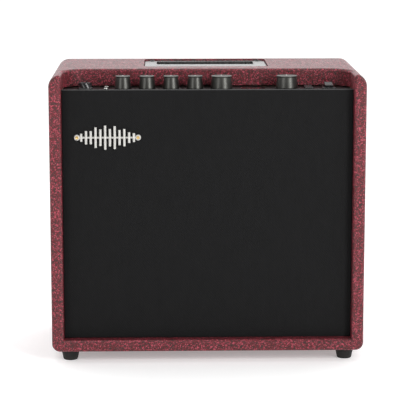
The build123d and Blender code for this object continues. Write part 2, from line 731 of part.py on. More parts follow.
def control_panel():
    """The flat panel at the bottom of the well, with its holes."""
    reach = INNER - SLIDE
    rear = FRONT + WELL_DEPTH + RAIL_DEPTH - SLIDE
    panel = block(-reach, reach, FRONT + BAFFLE_START + SLIDE, rear, PANEL_UNDER, PANEL_TOP)
    low, high = PANEL_UNDER - 1, PANEL_TOP + 1
    holes = [post(x, CONTROL_Y, BUSHING_RADIUS + FIT, low, high) for x in POT_X.values()]
    holes.append(post(ENCODER_X, CONTROL_Y, ENCODER_BUSHING_RADIUS + FIT, low, high))
    holes.append(post(INPUT_X, CONTROL_Y, INPUT_BARREL + FIT, low, high))
    for depth in (AUX_DEPTH, PHONES_DEPTH):
        holes.append(post(SMALL_JACK_X, FRONT + depth, SMALL_BARREL + FIT, low, high))
    for depth in button_depths():
        holes.append(slab(BUTTON_X, FRONT + depth, BUTTON_WIDTH + 2 * SLIDE,
                          BUTTON_LENGTH + 2 * SLIDE, low, high))
    holes.append(slab(DISPLAY_X, FRONT + DISPLAY_CENTRE, DISPLAY_WIDTH + 2 * FIT,
                      DISPLAY_DEPTH + 2 * FIT, low, high))
    around = 2 * FIT - 2 * SWITCH_OVERLAP
    holes.append(slab(SWITCH_X, CONTROL_Y + SWITCH_SHIFT, SWITCH_WIDTH + around,
                      SWITCH_LENGTH + around, low, high))
    for hole in holes:
        panel -= hole
    return {"control_panel": panel}


def chassis():
    """The steel tray under the panel, the main board with its display, and screws."""
    sheet = CHASSIS_SHEET
    y0, y1 = FRONT + CHASSIS_START, FRONT + CHASSIS_END
    tray = block(-INNER, INNER, y0, y1, CHASSIS_FLOOR, PANEL_UNDER)
    tray -= block(-INNER + sheet, INNER - sheet, y0 + sheet, y1 - sheet,
                  CHASSIS_FLOOR + sheet, PANEL_UNDER + 1)
    board_under = BOARD_TOP - BOARD_THICKNESS
    for x in (-BOARD_HALF + 8, 0, BOARD_HALF - 8):
        for y in (y0 + 8, y1 - 8):
            tray += post(x, y, STANDOFF_RADIUS, CHASSIS_FLOOR, board_under)
    for hole in clearance(chassis_screw_places(), 1.6, 6, Rot(0, 0, 0)):
        tray -= hole
    board = block(-BOARD_HALF, BOARD_HALF, y0 + 2, y1 - 2, board_under, BOARD_TOP)
    for share, width, drop in BOARD_BLOCKS:
        board += slab(share * BOARD_HALF, (y0 + y1) / 2, width, 14, board_under - drop,
                      board_under)
    for depth in button_depths():
        board += slab(BUTTON_X, FRONT + depth, TACT_SQUARE, TACT_SQUARE, BOARD_TOP,
                      BOARD_TOP + TACT_HEIGHT)
    board += slab(DISPLAY_X, FRONT + DISPLAY_CENTRE, DISPLAY_WIDTH + 2 * DISPLAY_BORDER,
                  DISPLAY_DEPTH + 2 * DISPLAY_BORDER, BOARD_TOP, PANEL_UNDER)
    fixing = screw(3.2, 1.8, 1.6, 10)
    return {
        "chassis": tray,
        "main_board": board,
        "chassis_screws": Compound([place * fixing for place in chassis_screw_places()]),
    }


def knob(x, size, gap):
    """A turned knob with a dished top, a pointer and a hollow underneath."""
    base, crown = KNOB_RADII[size]
    low, high = PANEL_TOP + gap, TOP - KNOB_TOP_BELOW
    height = high - low
    shape = turned([
        (0, 0), (base, 0), (base, 1.2), (crown - KNOB_LIP, height - KNOB_RIM - KNOB_LIP / 2),
        (crown, height - KNOB_RIM), (crown, height - 0.3), (crown - 0.3, height),
        (crown - 2.2, height), (crown - 2.8, height - 0.5), (0, height - 0.5),
    ])
    shape -= Cylinder(base - KNOB_WALL, 2 * KNOB_RECESS)
    pointer = Pos(0, crown, height) * Box(POINTER_WIDTH, crown, 2 * POINTER_DEPTH)
    shape = Pos(x, CONTROL_Y, low) * (shape - pointer)
    return shape - post(x, CONTROL_Y, SHAFT_RADIUS, low, high - KNOB_SOLID_TOP)


def pots():
    """Five potentiometers, with the shaft, nut and knob of each."""
    nodes, bodies, nuts = {}, [], []
    bushing_top = PANEL_TOP + BUSHING_RISE
    shaft_foot = BOARD_TOP + POT_FLOOR
    for name, x in POT_X.items():
        body = post(x, CONTROL_Y, POT_RADIUS, BOARD_TOP, PANEL_UNDER)
        body += post(x, CONTROL_Y, BUSHING_RADIUS, BOARD_TOP, bushing_top)
        body -= post(x, CONTROL_Y, SHAFT_RADIUS + RUNNING, shaft_foot, bushing_top + 1)
        bodies.append(body)
        nut = hexagon(x, CONTROL_Y, NUT_RADIUS, PANEL_TOP, PANEL_TOP + NUT_HEIGHT)
        nuts.append(nut - post(x, CONTROL_Y, BUSHING_RADIUS + FIT, PANEL_TOP - 1, TOP))
        size = "large" if name == "master" else "small"
        nodes[f"knob_{name}"] = knob(x, size, KNOB_GAP)
        nodes[f"shaft_{name}"] = post(x, CONTROL_Y, SHAFT_RADIUS, shaft_foot + SLIDE,
                                      TOP - KNOB_TOP_BELOW - KNOB_SOLID_TOP)
    nut = hexagon(ENCODER_X, CONTROL_Y, ENCODER_NUT_RADIUS, PANEL_TOP, PANEL_TOP + NUT_HEIGHT)
    nuts.append(nut - post(ENCODER_X, CONTROL_Y, ENCODER_BUSHING_RADIUS + FIT,
                           PANEL_TOP - 1, TOP))
    nodes["potentiometers"] = Compound(bodies)
    nodes["bushing_nuts"] = Compound(nuts)
    return nodes


def encoder():
    """The rotary encoder: its sleeve slides down when the knob is pressed."""
    bushing_top = PANEL_TOP + ENCODER_BUSHING_RISE
    sleeve_foot = BOARD_TOP + POT_FLOOR + ENCODER_PRESS + SLIDE
    sleeve_top = bushing_top + ENCODER_PRESS + SLIDE
    body = slab(ENCODER_X, CONTROL_Y, ENCODER_SQUARE, ENCODER_SQUARE, BOARD_TOP, PANEL_UNDER)
    body += post(ENCODER_X, CONTROL_Y, ENCODER_BUSHING_RADIUS, BOARD_TOP, bushing_top)
    body -= post(ENCODER_X, CONTROL_Y, CARRIER_RADIUS + RUNNING, BOARD_TOP + POT_FLOOR,
                 bushing_top + 1)
    sleeve = tube(ENCODER_X, CONTROL_Y, CARRIER_RADIUS, SHAFT_RADIUS + RUNNING,
                  sleeve_foot, sleeve_top)
    shaft = post(ENCODER_X, CONTROL_Y, SHAFT_RADIUS, sleeve_foot,
                 TOP - KNOB_TOP_BELOW - KNOB_SOLID_TOP)
    shaft += post(ENCODER_X, CONTROL_Y, CARRIER_RADIUS, sleeve_top, sleeve_top + SHOULDER)
    return {
        "encoder_body": body,
        "encoder_sleeve": sleeve,
        "encoder_shaft": shaft,
        "knob_encoder": knob(ENCODER_X, "large", KNOB_GAP + ENCODER_PRESS),
    }


def display():
    """The flat window of the readout."""
    window = slab(DISPLAY_X, FRONT + DISPLAY_CENTRE, DISPLAY_WIDTH, DISPLAY_DEPTH,
                  PANEL_UNDER, PANEL_TOP + WINDOW_PROUD)
    return {"display_window": window}


def buttons():
    """Four caps in a column, each with a lip under the panel and a stem."""
    nodes = {}
    lip_low = PANEL_UNDER - BUTTON_LIP_THICKNESS
    stem_low = BOARD_TOP + TACT_HEIGHT + BUTTON_TRAVEL + FIT
    lip_width = BUTTON_WIDTH + 2 * (SLIDE + BUTTON_LIP)
    for index, depth in enumerate(button_depths()):
        y = FRONT + depth
        cap = slab(BUTTON_X, y, BUTTON_WIDTH, BUTTON_LENGTH, PANEL_UNDER,
                   PANEL_TOP + BUTTON_RISE)
        cap = fillet(cap.edges().filter_by(Axis.Z), 0.8)
        cap = fillet(cap.edges().group_by(Axis.Z)[-1], 0.6)
        cap += slab(BUTTON_X, y, lip_width, BUTTON_LENGTH, lip_low, PANEL_UNDER)
        cap += slab(BUTTON_X, y, BUTTON_STEM, BUTTON_STEM, stem_low, lip_low)
        nodes[f"button_{index + 1}"] = cap
    return nodes


def power_switch():
    """The rocker switch, resting with its front half down."""
    y = CONTROL_Y + SWITCH_SHIFT
    pivot = PANEL_TOP + ROCKER_PIVOT_RISE
    reach = hypot(ROCKER_REACH, ROCKER_BELOW) + SLIDE
    floor = PANEL_UNDER - SWITCH_BODY_DROP
    body = slab(SWITCH_X, y, SWITCH_WIDTH, SWITCH_LENGTH, PANEL_TOP, PANEL_TOP + SWITCH_BEZEL)
    body = chamfer(body.edges().group_by(Axis.Z)[-1], 0.6)
    body += slab(SWITCH_X, y, SWITCH_WIDTH - 2 * SWITCH_OVERLAP,
                 SWITCH_LENGTH - 2 * SWITCH_OVERLAP, floor, PANEL_TOP)
    body -= slab(SWITCH_X, y, ROCKER_WIDTH + 2 * SLIDE, 2 * reach, floor + 3, TOP)
    pin = Pos(SWITCH_X, y, pivot) * Rot(0, 90, 0)
    span = ROCKER_WIDTH + 2 * SLIDE + 2 * PIVOT_LENGTH
    body -= pin * Cylinder(PIVOT_RADIUS + RUNNING, span + 2 * FIT)
    side = Polyline((-ROCKER_REACH, -ROCKER_BELOW), (0, -2 * ROCKER_BELOW),
                    (ROCKER_REACH, -ROCKER_BELOW), (ROCKER_REACH, ROCKER_RISE),
                    (0, ROCKER_RISE - ROCKER_DISH), (-ROCKER_REACH, ROCKER_RISE), close=True)
    rocker = extrude(Plane.YZ * make_face(side), ROCKER_WIDTH / 2, both=True)
    rocker = fillet(rocker.edges().filter_by(Axis.X).group_by(Axis.Z)[-1], 0.8)
    rocker += Rot(0, 90, 0) * Cylinder(PIVOT_RADIUS, span - 2 * SLIDE)
    return {
        "power_switch_body": body,
        "power_rocker": Pos(SWITCH_X, y, pivot) * Rot(ROCKER_SWING / 2, 0, 0) * rocker,
    }


def jacks():
    """The instrument input and two small jacks."""
    width, length, drop = INPUT_BODY
    front = FRONT + CHASSIS_START + CHASSIS_SHEET + SLIDE
    top = PANEL_TOP + INPUT_RISE
    socket = block(INPUT_X - width / 2, INPUT_X + width / 2, front, front + length,
                   PANEL_UNDER - drop, PANEL_UNDER)
    collar = post(INPUT_X, CONTROL_Y, INPUT_COLLAR_RADIUS, PANEL_TOP, PANEL_TOP + INPUT_COLLAR)
    nut = hexagon(INPUT_X, CONTROL_Y, INPUT_NUT_RADIUS, PANEL_TOP, top)
    socket += post(INPUT_X, CONTROL_Y, INPUT_BARREL, PANEL_UNDER - 1, top)
    socket += chamfer(collar.edges().group_by(Axis.Z)[-1], 0.8)
    socket += chamfer(nut.edges().group_by(Axis.Z)[-1], 0.6)
    socket -= post(INPUT_X, CONTROL_Y, INPUT_BORE, PANEL_UNDER - drop + 2, top + 1)
    nodes = {"input_jack": socket}
    for name, depth in (("aux_jack", AUX_DEPTH), ("phones_jack", PHONES_DEPTH)):
        y = FRONT + depth
        top = PANEL_TOP + SMALL_JACK_RISE
        jack = slab(SMALL_JACK_X, y, SMALL_BODY, SMALL_BODY, BOARD_TOP, PANEL_UNDER)
        jack += post(SMALL_JACK_X, y, SMALL_BARREL, BOARD_TOP, top)
        ring = post(SMALL_JACK_X, y, SMALL_JACK_RADIUS, PANEL_TOP, top)
        jack += chamfer(ring.edges().group_by(Axis.Z)[-1], 0.5)
        nodes[name] = jack - post(SMALL_JACK_X, y, SMALL_BORE, BOARD_TOP + 1, top + 1)
    return nodes


def power():
    """The mains inlet on the rear panel and the supply on the floor."""
    width, height = INLET_WIDTH / 2, INLET_HEIGHT / 2
    back = BACK_FACE + INLET_FLANGE
    inlet = block(INLET_X - width, INLET_X + width, back - INLET_DEPTH, BACK_FACE,
                  INLET_Z - height, INLET_Z + height)
    wide, tall = INLET_FLANGE_WIDTH / 2, INLET_FLANGE_HEIGHT / 2
    flange = block(INLET_X - wide, INLET_X + wide, BACK_FACE, back, INLET_Z - tall,
                   INLET_Z + tall)
    inlet += fillet(flange.edges().filter_by(Axis.Y), 3.0)
    wall = INLET_WALL
    socket = block(INLET_X - width + wall, INLET_X + width - wall, back - INLET_DEPTH + 8,
                   back + 1, INLET_Z - height + wall, INLET_Z + height - wall)
    corners = socket.edges().filter_by(Axis.Y).group_by(Axis.Z)[-1]
    inlet -= chamfer(corners, 5.0)
    for x, z in ((-7, -1.5), (0, 2.5), (7, -1.5)):
        inlet += block(INLET_X + x - 1, INLET_X + x + 1, back - INLET_DEPTH + 7, back - 3,
                       INLET_Z + z - 2, INLET_Z + z + 2)
    y = BACK_START - CLEAT - 3 - SUPPLY_LENGTH / 2
    board_low = FLOOR + SUPPLY_STANDOFF
    supply = slab(SUPPLY_X, y, SUPPLY_WIDTH, SUPPLY_LENGTH, board_low,
                  board_low + BOARD_THICKNESS)
    for sx in (-1, 1):
        for sy in (-1, 1):
            supply += post(SUPPLY_X + sx * (SUPPLY_WIDTH / 2 - 6),
                           y + sy * (SUPPLY_LENGTH / 2 - 6), 3.0, FLOOR, board_low)
    for x, width, length, rise in ((-38, 22, 30, 20), (4, 36, 32, 28), (42, 20, 28, 16)):
        supply += slab(SUPPLY_X + x, y, width, length, board_low, board_low + rise)
    return {"mains_inlet": inlet, "power_supply": supply}


def export(nodes):
    """Writes one STEP for each node."""
    folder = Path("parts")
    folder.mkdir(exist_ok=True)
    for name, shape in nodes.items():
        export_step(shape, str(folder / f"{name}.step"))


def main():
    """Builds every group of the amplifier and writes it."""
    groups = (woodwork, feet, handle, rear, grille, baffle, loudspeaker, control_panel,
              chassis, pots, encoder, display, buttons, power_switch, jacks, power)
    for group in groups:
        export(group())


if __name__ == "__main__":
    main()
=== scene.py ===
"""Finished surfaces for a combo guitar amplifier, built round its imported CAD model."""

import json
import math

import bmesh
import bpy
from bpy.props import (
    FloatProperty,
    FloatVectorProperty,
    IntProperty,
    PointerProperty,
)
from mathutils import Matrix, Vector


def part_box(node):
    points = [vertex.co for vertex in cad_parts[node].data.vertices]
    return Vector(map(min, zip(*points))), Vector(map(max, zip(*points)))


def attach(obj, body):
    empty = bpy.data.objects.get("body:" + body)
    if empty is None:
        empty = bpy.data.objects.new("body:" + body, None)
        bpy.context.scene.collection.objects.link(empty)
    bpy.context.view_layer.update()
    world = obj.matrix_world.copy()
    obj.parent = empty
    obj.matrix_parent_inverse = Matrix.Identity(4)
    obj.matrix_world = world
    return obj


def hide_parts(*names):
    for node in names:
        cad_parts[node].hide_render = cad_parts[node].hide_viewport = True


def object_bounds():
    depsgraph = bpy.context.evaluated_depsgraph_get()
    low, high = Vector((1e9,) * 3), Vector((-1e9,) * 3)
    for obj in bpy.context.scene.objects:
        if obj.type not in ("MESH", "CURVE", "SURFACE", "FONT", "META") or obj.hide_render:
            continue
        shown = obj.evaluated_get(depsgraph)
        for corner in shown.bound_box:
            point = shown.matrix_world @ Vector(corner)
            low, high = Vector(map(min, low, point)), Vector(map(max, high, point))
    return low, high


bl_info = {
    "name": "Combo Guitar Amplifier",
    "version": (1, 0, 0),
    "blender": (4, 5, 0),
    "location": "View3D > Sidebar > Amplifier",
    "description": "Builds the finished surfaces of a combo guitar amplifier",
    "category": "Object",
}

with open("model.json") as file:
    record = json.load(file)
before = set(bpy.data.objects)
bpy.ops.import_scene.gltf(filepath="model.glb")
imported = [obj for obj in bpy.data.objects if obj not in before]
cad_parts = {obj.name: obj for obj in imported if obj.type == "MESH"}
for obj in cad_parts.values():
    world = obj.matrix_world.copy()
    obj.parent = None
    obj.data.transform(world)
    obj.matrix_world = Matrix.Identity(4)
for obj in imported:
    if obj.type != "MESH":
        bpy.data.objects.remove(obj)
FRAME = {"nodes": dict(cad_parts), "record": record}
CAD_BOX = [list(corner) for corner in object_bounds()]
MAIN_BODY = "amplifier"
POTS = ("gain", "volume", "treble", "bass", "master")


# ------------------------------------------------------------------ settings


def length(name, description, default):
    """A length property in metres."""
    return FloatProperty(
        name=name, description=description, default=default, min=0.0,
        precision=5, unit="LENGTH",
    )


def colour(name, description, default):
    """A linear colour property."""
    return FloatVectorProperty(
        name=name, description=description, default=default, size=3,
        min=0.0, max=1.0, subtype="COLOR",
    )


class AmpCabinetSettings(bpy.types.PropertyGroup):
    """Vinyl, boards and rear paint."""

    vinyl: colour("Vinyl", "Main red of the covering", (0.150, 0.010, 0.017))
    vinyl_light: colour("Flake", "Bright flakes in the covering", (0.54, 0.08, 0.122))
    vinyl_dark: colour("Thread", "Dark threads across the covering", (0.030, 0.018, 0.016))
    flake_size: length("Flake Size", "Width of one flake", 0.0011)
    thread_size: length("Thread Spacing", "Distance between dark threads", 0.0018)
    grain_depth: length("Grain Depth", "Height of the vinyl's grain", 0.00022)
    board: colour("Board", "Bare board inside the cabinet", (0.36, 0.25, 0.15))
    back_paint: colour("Back Paint", "Textured paint on the rear panels", (0.014, 0.014, 0.015))


class AmpGrilleSettings(bpy.types.PropertyGroup):
    """Grille cloth and badge."""

    cloth: colour("Cloth", "Yarn of the grille cloth", (0.0068, 0.0068, 0.0071))
    yarn: length("Yarn Pitch", "Distance from yarn to yarn", 0.00105)
    badge: colour("Badge", "Pearl of the badge", (0.55, 0.54, 0.51))
    bar_count: IntProperty(name="Bars", description="Bars of the badge", default=12, min=2)


class AmpControlSettings(bpy.types.PropertyGroup):
    """Knobs, panel and printed marks."""

    knob: colour("Knob", "Turned metal of the knobs", (0.084, 0.084, 0.078))
    groove: length("Groove", "Depth of the turned lines on a knob", 0.00006)
    groove_pitch: length("Groove Pitch", "Distance between turned lines", 0.0008)
    panel: colour("Panel", "Paint of the control panel", (0.012, 0.012, 0.013))
    mark: colour("Marks", "Printed marks on the panel", (0.62, 0.61, 0.58))
    tick_count: IntProperty(name="Ticks", description="Ticks round a knob", default=11, min=2)


class AmpStageSettings(bpy.types.PropertyGroup):
    """Floor, lights and camera."""

    distance: length("Camera Distance", "From the front edge to the camera", 2.1)
    height: length("Camera Height", "Camera above the floor", 0.585)
    yaw: FloatProperty(name="Yaw", description="Turn of the camera round the object",
                       default=math.radians(-1.35), subtype="ANGLE")
    pitch: FloatProperty(name="Pitch", description="Tilt of the camera below level",
                         default=math.radians(9.51), subtype="ANGLE")
    lens: FloatProperty(name="Lens", description="Focal length", default=149.6,
                        min=1.0, unit="CAMERA")
    rise: FloatProperty(name="Shift", description="Vertical shift of the lens", default=-0.07)
    floor: colour("Floor", "Pale floor", (0.86, 0.86, 0.86))
    floor_glow: FloatProperty(name="Floor Glow", description="Light given off by the floor",
                              default=0.35, min=0.0)
    front_glow: FloatProperty(name="Front Glow", description="Surround in front",
                              default=0.2, min=0.0)
    back_glow: FloatProperty(name="Back Glow", description="Surround behind",
                             default=1.65, min=0.0)
    left_power: FloatProperty(name="Left Box", description="Power of the left soft box",
                              default=17.0, min=0.0, unit="POWER")
    right_power: FloatProperty(name="Right Box", description="Power of the right soft box",
                               default=42.0, min=0.0, unit="POWER")
    top_power: FloatProperty(name="Top Box", description="Power of the soft box above",
                             default=8.0, min=0.0, unit="POWER")


SETTINGS = {
    "amp_cabinet": AmpCabinetSettings,
    "amp_grille": AmpGrilleSettings,
    "amp_controls": AmpControlSettings,
    "amp_stage": AmpStageSettings,
}


# ----------------------------------------------------------------- materials


class Finish:
    """A material under construction: its nodes are added one at a time."""

    def __init__(self, name, **sockets):
        self.material = bpy.data.materials.new(name)
        self.material.use_nodes = True
        self.tree = self.material.node_tree
        self.tree.nodes.clear()
        self.surface = self.tree.nodes.new("ShaderNodeBsdfPrincipled")
        out = self.tree.nodes.new("ShaderNodeOutputMaterial")
        self.tree.links.new(self.surface.outputs["BSDF"], out.inputs["Surface"])
        self.place = self.tree.nodes.new("ShaderNodeTexCoord").outputs["Object"]
        for key, value in sockets.items():
            self.surface.inputs[key.replace("_", " ")].default_value = value

    def add(self, kind, inputs=None, **attributes):
        """Adds a node; inputs maps a socket's name or number to a value or an output."""
        node = self.tree.nodes.new(kind)
        for key, value in attributes.items():
            setattr(node, key, value)
        for key, value in (inputs or {}).items():
            if isinstance(value, bpy.types.NodeSocket):
                self.tree.links.new(value, node.inputs[key])
            else:
                node.inputs[key].default_value = value
        return node

    def drive(self, socket, output):
        """Joins an output to a socket of the surface shader."""
        self.tree.links.new(output, self.surface.inputs[socket])

    def noise(self, size, detail=2.0, roughness=0.5, place=None):
        """Noise whose features are about one size across."""
        return self.add("ShaderNodeTexNoise", {
            "Vector": place or self.place, "Scale": 1 / size, "Detail": detail,
            "Roughness": roughness,
        }).outputs["Fac"]

    def cells(self, size, feature="F1", output="Distance", randomness=1.0, place=None):
        """Voronoi cells of about one size."""
        return self.add("ShaderNodeTexVoronoi", {
            "Vector": place or self.place, "Scale": 1 / size, "Randomness": randomness,
        }, feature=feature).outputs[output]

    def ramp(self, factor, *stops):
        """A colour ramp from (position, grey or colour) stops."""
        node = self.add("ShaderNodeValToRGB", {"Fac": factor})
        points = node.color_ramp.elements
        while len(points) < len(stops):
            points.new(0.5)
        for point, (position, value) in zip(points, stops):
            shade = (value,) * 3 if isinstance(value, float) else tuple(value)
            point.position = position
            point.color = (*shade, 1.0)
        return node.outputs["Color"]

    def mix(self, factor, first, second, blend="MIX"):
        """Mixes two colours."""
        node = self.add("ShaderNodeMix", data_type="RGBA", blend_type=blend)
        for socket, value in ((node.inputs[0], factor), (node.inputs[6], first),
                              (node.inputs[7], second)):
            if isinstance(value, bpy.types.NodeSocket):
                self.tree.links.new(value, socket)
            elif socket.type == "RGBA":
                socket.default_value = (*value, 1.0)
            else:
                socket.default_value = value
        return node.outputs[2]

    def maths(self, operation, first, second=0.0, third=0.0):
        """One step of arithmetic."""
        return self.add("ShaderNodeMath", {0: first, 1: second, 2: third},
                        operation=operation).outputs[0]

    def stretched(self, scale):
        """Object coordinates stretched per axis."""
        return self.add("ShaderNodeMapping", {"Vector": self.place, "Scale": scale}).outputs[0]

    def roughen(self, low, high, size, place=None):
        """Roughness that drifts between two values."""
        grain = self.noise(size, 3.0, place=place)
        spread = self.add("ShaderNodeMapRange", {"Value": grain, "From Min": 0.3,
                                                 "From Max": 0.7, "To Min": low, "To Max": high})
        self.drive("Roughness", spread.outputs["Result"])

    def bump(self, height, depth, strength=1.0):
        """Bump of a depth in metres."""
        node = self.add("ShaderNodeBump", {"Height": height, "Distance": depth,
                                           "Strength": strength})
        self.drive("Normal", node.outputs["Normal"])


FINISHES = {}


def finish(maker):
    """Keeps one copy of each material that a maker function builds."""
    def kept(context):
        if maker.__name__ not in FINISHES:
            FINISHES[maker.__name__] = maker(context.scene).material
        return FINISHES[maker.__name__]
    return kept


@finish
def flake_vinyl(scene):
    """Red vinyl with bright flakes under a net of dark threads."""
    look = scene.amp_cabinet
    made = Finish("flake_vinyl", Specular_IOR_Level=0.36)
    drift = made.noise(look.thread_size * 1.6, 2.0)
    cell = made.cells(look.flake_size, output="Color")
    pick = made.add("ShaderNodeSeparateColor", {"Color": cell}).outputs["Red"]
    red = made.ramp(pick, (0.0, tuple(look.vinyl * 1.0)), (0.62, tuple(look.vinyl)),
                    (0.86, tuple(look.vinyl_light)), (1.0, tuple(look.vinyl_light)))
    net = made.cells(look.thread_size, feature="DISTANCE_TO_EDGE")
    thread = made.ramp(net, (0.0, 1.0), (0.11, 1.0), (0.24, 0.0))
    gaps = made.ramp(drift, (0.36, 0.1), (0.6, 1.0))
    net_mask = made.maths("MULTIPLY", thread, gaps)
    body = made.mix(net_mask, red, tuple(look.vinyl_dark))
    broad = made.ramp(made.noise(0.022, 3.0), (0.3, 0.86), (0.7, 1.0))
    made.drive("Base Color", made.mix(1.0, body, broad, blend="MULTIPLY"))
    grain = made.maths("ADD", made.noise(look.flake_size * 0.6, 3.0), net_mask)
    made.bump(grain, look.grain_depth, 0.9)
    made.roughen(0.36, 0.5, 0.004)
    return made


@finish
def bare_board(scene):
    """Pressed board with fine fibres."""
    base = Vector(scene.amp_cabinet.board)
    made = Finish("bare_board", Roughness=0.85, Specular_IOR_Level=0.25)
    fibre = made.noise(0.0009, 6.0, 0.7, made.stretched((1.0, 1.0, 0.35)))
    patch = made.noise(0.03, 3.0)
    fine = made.ramp(fibre, (0.3, tuple(base * 0.72)), (0.7, tuple(base * 1.2)))
    tone = made.ramp(patch, (0.3, 0.88), (0.7, 1.0))
    made.drive("Base Color", made.mix(1.0, fine, tone, blend="MULTIPLY"))
    made.bump(fibre, 0.00015, 0.6)
    return made


@finish
def textured_paint(scene):
    """Black paint with a fine pebble."""
    base = Vector(scene.amp_cabinet.back_paint)
    made = Finish("textured_paint", Specular_IOR_Level=0.4)
    pebble = made.cells(0.0011, feature="SMOOTH_F1")
    shade = made.ramp(made.noise(0.015, 3.0), (0.3, tuple(base * 0.8)), (0.7, tuple(base * 1.4)))
    made.drive("Base Color", shade)
    made.bump(pebble, 0.00025, 0.8)
    made.roughen(0.45, 0.6, 0.006)
    return made


@finish
def woven_cloth(scene):
    """Plain-woven grille cloth, with each yarn going over and under the next."""
    look = scene.amp_grille
    base = Vector(look.cloth)
    made = Finish("woven_cloth", Roughness=0.85, Specular_IOR_Level=0.12, Sheen_Weight=0.12,
                  Sheen_Roughness=0.5)
    axes = made.add("ShaderNodeSeparateXYZ", {"Vector": made.place})
    turn = math.pi / look.yarn
    warp = made.maths("SINE", made.maths("MULTIPLY", axes.outputs["X"], turn))
    weft = made.maths("SINE", made.maths("MULTIPLY", axes.outputs["Z"], turn))
    over = made.maths("MULTIPLY", warp, weft)
    lift = made.add("ShaderNodeMapRange", {"Value": over, "From Min": -1.0}).outputs["Result"]
    fuzz = made.noise(look.yarn * 0.35, 3.0, 0.6)
    yarn = made.ramp(lift, (0.15, tuple(base * 0.7)), (0.85, tuple(base * 1.35)))
    slub = made.ramp(made.noise(0.007, 4.0, 0.6, made.stretched((1.0, 1.0, 0.25))),
                     (0.32, 0.82), (0.68, 1.0))
    made.drive("Base Color", made.mix(1.0, yarn, slub, blend="MULTIPLY"))
    made.bump(made.maths("MULTIPLY_ADD", fuzz, 0.4, lift), 0.00025, 0.8)
    return made


@finish
def pearl(scene):
    """Pearl silver of the badge."""
    base = Vector(scene.amp_grille.badge)
    made = Finish("pearl", Metallic=0.35, Specular_IOR_Level=0.5, Coat_Weight=0.4,
                  Coat_Roughness=0.15)
    flake = made.noise(0.0006, 2.0)
    made.drive("Base Color", made.ramp(flake, (0.3, tuple(base * 0.88)), (0.7, tuple(base * 1.1))))
    made.roughen(0.28, 0.38, 0.002)
    made.bump(flake, 0.00003, 0.4)
    return made


def metal(name, base, low, high, size=0.0015, stretch=(1.0, 1.0, 1.0), bump=0.00001):
    """Bare metal with drifting roughness and a faint grain."""
    base = Vector(base)
    made = Finish(name, Metallic=1.0)
    grain = made.noise(size, 4.0, 0.6, made.stretched(stretch))
    shade = made.ramp(grain, (0.25, tuple(base * 0.85)), (0.75, tuple(base * 1.08)))
    made.drive("Base Color", shade)
    made.roughen(low, high, size, made.stretched(stretch))
    made.bump(grain, bump, 0.5)
    return made


@finish
def brass(scene):
    """Polished brass pins."""
    return metal("brass", (0.62, 0.43, 0.17), 0.22, 0.35)


@finish
def bright_steel(scene):
    """Plated steel of small fittings."""
    return metal("bright_steel", (0.62, 0.62, 0.62), 0.2, 0.32)


@finish
def zinc_sheet(scene):
    """Zinc-plated sheet with a faint spangle."""
    return metal("zinc_sheet", (0.46, 0.47, 0.48), 0.32, 0.5, 0.008)


@finish
def turned_metal(scene):
    """Gunmetal of the knobs, with lines left by the lathe."""
    return metal("turned_metal", scene.amp_controls.knob, 0.34, 0.46, 0.0006,
                 (0.2, 0.2, 6.0), 0.00002)


@finish
def chromed(scene):
    """Chromed ring nuts."""
    return metal("chromed", (0.5, 0.49, 0.47), 0.12, 0.22)


@finish
def copper_wire(scene):
    """Wound enamelled wire."""
    return metal("copper_wire", (0.6, 0.26, 0.11), 0.3, 0.45, 0.0003, (1.0, 8.0, 1.0), 0.00004)


def plastic(name, base, low, high, grain=0.0007, depth=0.00006, specular=0.5):
    """Moulded plastic with a fine etched grain."""
    base = Vector(base)
    made = Finish(name, Specular_IOR_Level=specular)
    etched = made.noise(grain, 2.0, 0.55)
    tone = made.noise(0.01, 2.0)
    made.drive("Base Color", made.ramp(tone, (0.3, tuple(base * 0.85)), (0.7, tuple(base * 1.2))))
    made.roughen(low, high, grain * 3)
    made.bump(etched, depth, 0.7)
    return made


@finish
def handle_plastic(scene):
    """Grained black plastic of the handle."""
    return plastic("handle_plastic", (0.03, 0.03, 0.029), 0.24, 0.32, 0.0012, 0.00003, 0.7)


@finish
def gloss_black(scene):
    """Smooth black plastic of jacks, buttons and switch."""
    return plastic("gloss_black", (0.016, 0.016, 0.017), 0.2, 0.3, 0.002, 0.00001)


@finish
def foot_rubber(scene):
    """Matt black rubber."""
    return plastic("foot_rubber", (0.014, 0.014, 0.013), 0.6, 0.75, 0.0012, 0.0001, 0.3)


@finish
def roll_rubber(scene):
    """Soft rubber of the loudspeaker's surround."""
    return plastic("roll_rubber", (0.012, 0.012, 0.012), 0.45, 0.6, 0.002, 0.00003, 0.4)


@finish
def panel_paint(scene):
    """Satin black paint of the control panel."""
    return plastic("panel_paint", tuple(scene.amp_controls.panel), 0.3, 0.4, 0.0015, 0.00002, 0.38)


@finish
def basket_paint(scene):
    """Black enamel on the pressed steel basket."""
    return plastic("basket_paint", (0.013, 0.013, 0.014), 0.25, 0.4, 0.002, 0.00003)


@finish
def ferrite(scene):
    """Sintered magnet ring."""
    return plastic("ferrite", (0.035, 0.034, 0.034), 0.6, 0.8, 0.0009, 0.0001, 0.3)


@finish
def black_oxide(scene):
    """Blackened screws."""
    made = plastic("black_oxide", (0.02, 0.02, 0.02), 0.3, 0.45, 0.001, 0.00002)
    made.surface.inputs["Metallic"].default_value = 0.6
    return made


@finish
def printed_mark(scene):
    """Printed ink."""
    return plastic("printed_mark", tuple(scene.amp_controls.mark), 0.5, 0.6, 0.001, 0.00001, 0.3)


@finish
def circuit_board(scene):
    """Solder mask over copper tracks."""
    made = Finish("circuit_board", Specular_IOR_Level=0.5)
    track = made.cells(0.004, feature="DISTANCE_TO_EDGE", randomness=0.4)
    mask, gap = (0.02, 0.11, 0.05), (0.006, 0.045, 0.02)
    made.drive("Base Color", made.ramp(track, (0.0, mask), (0.12, gap)))
    made.bump(track, 0.00004, 0.5)
    made.roughen(0.25, 0.4, 0.004)
    return made


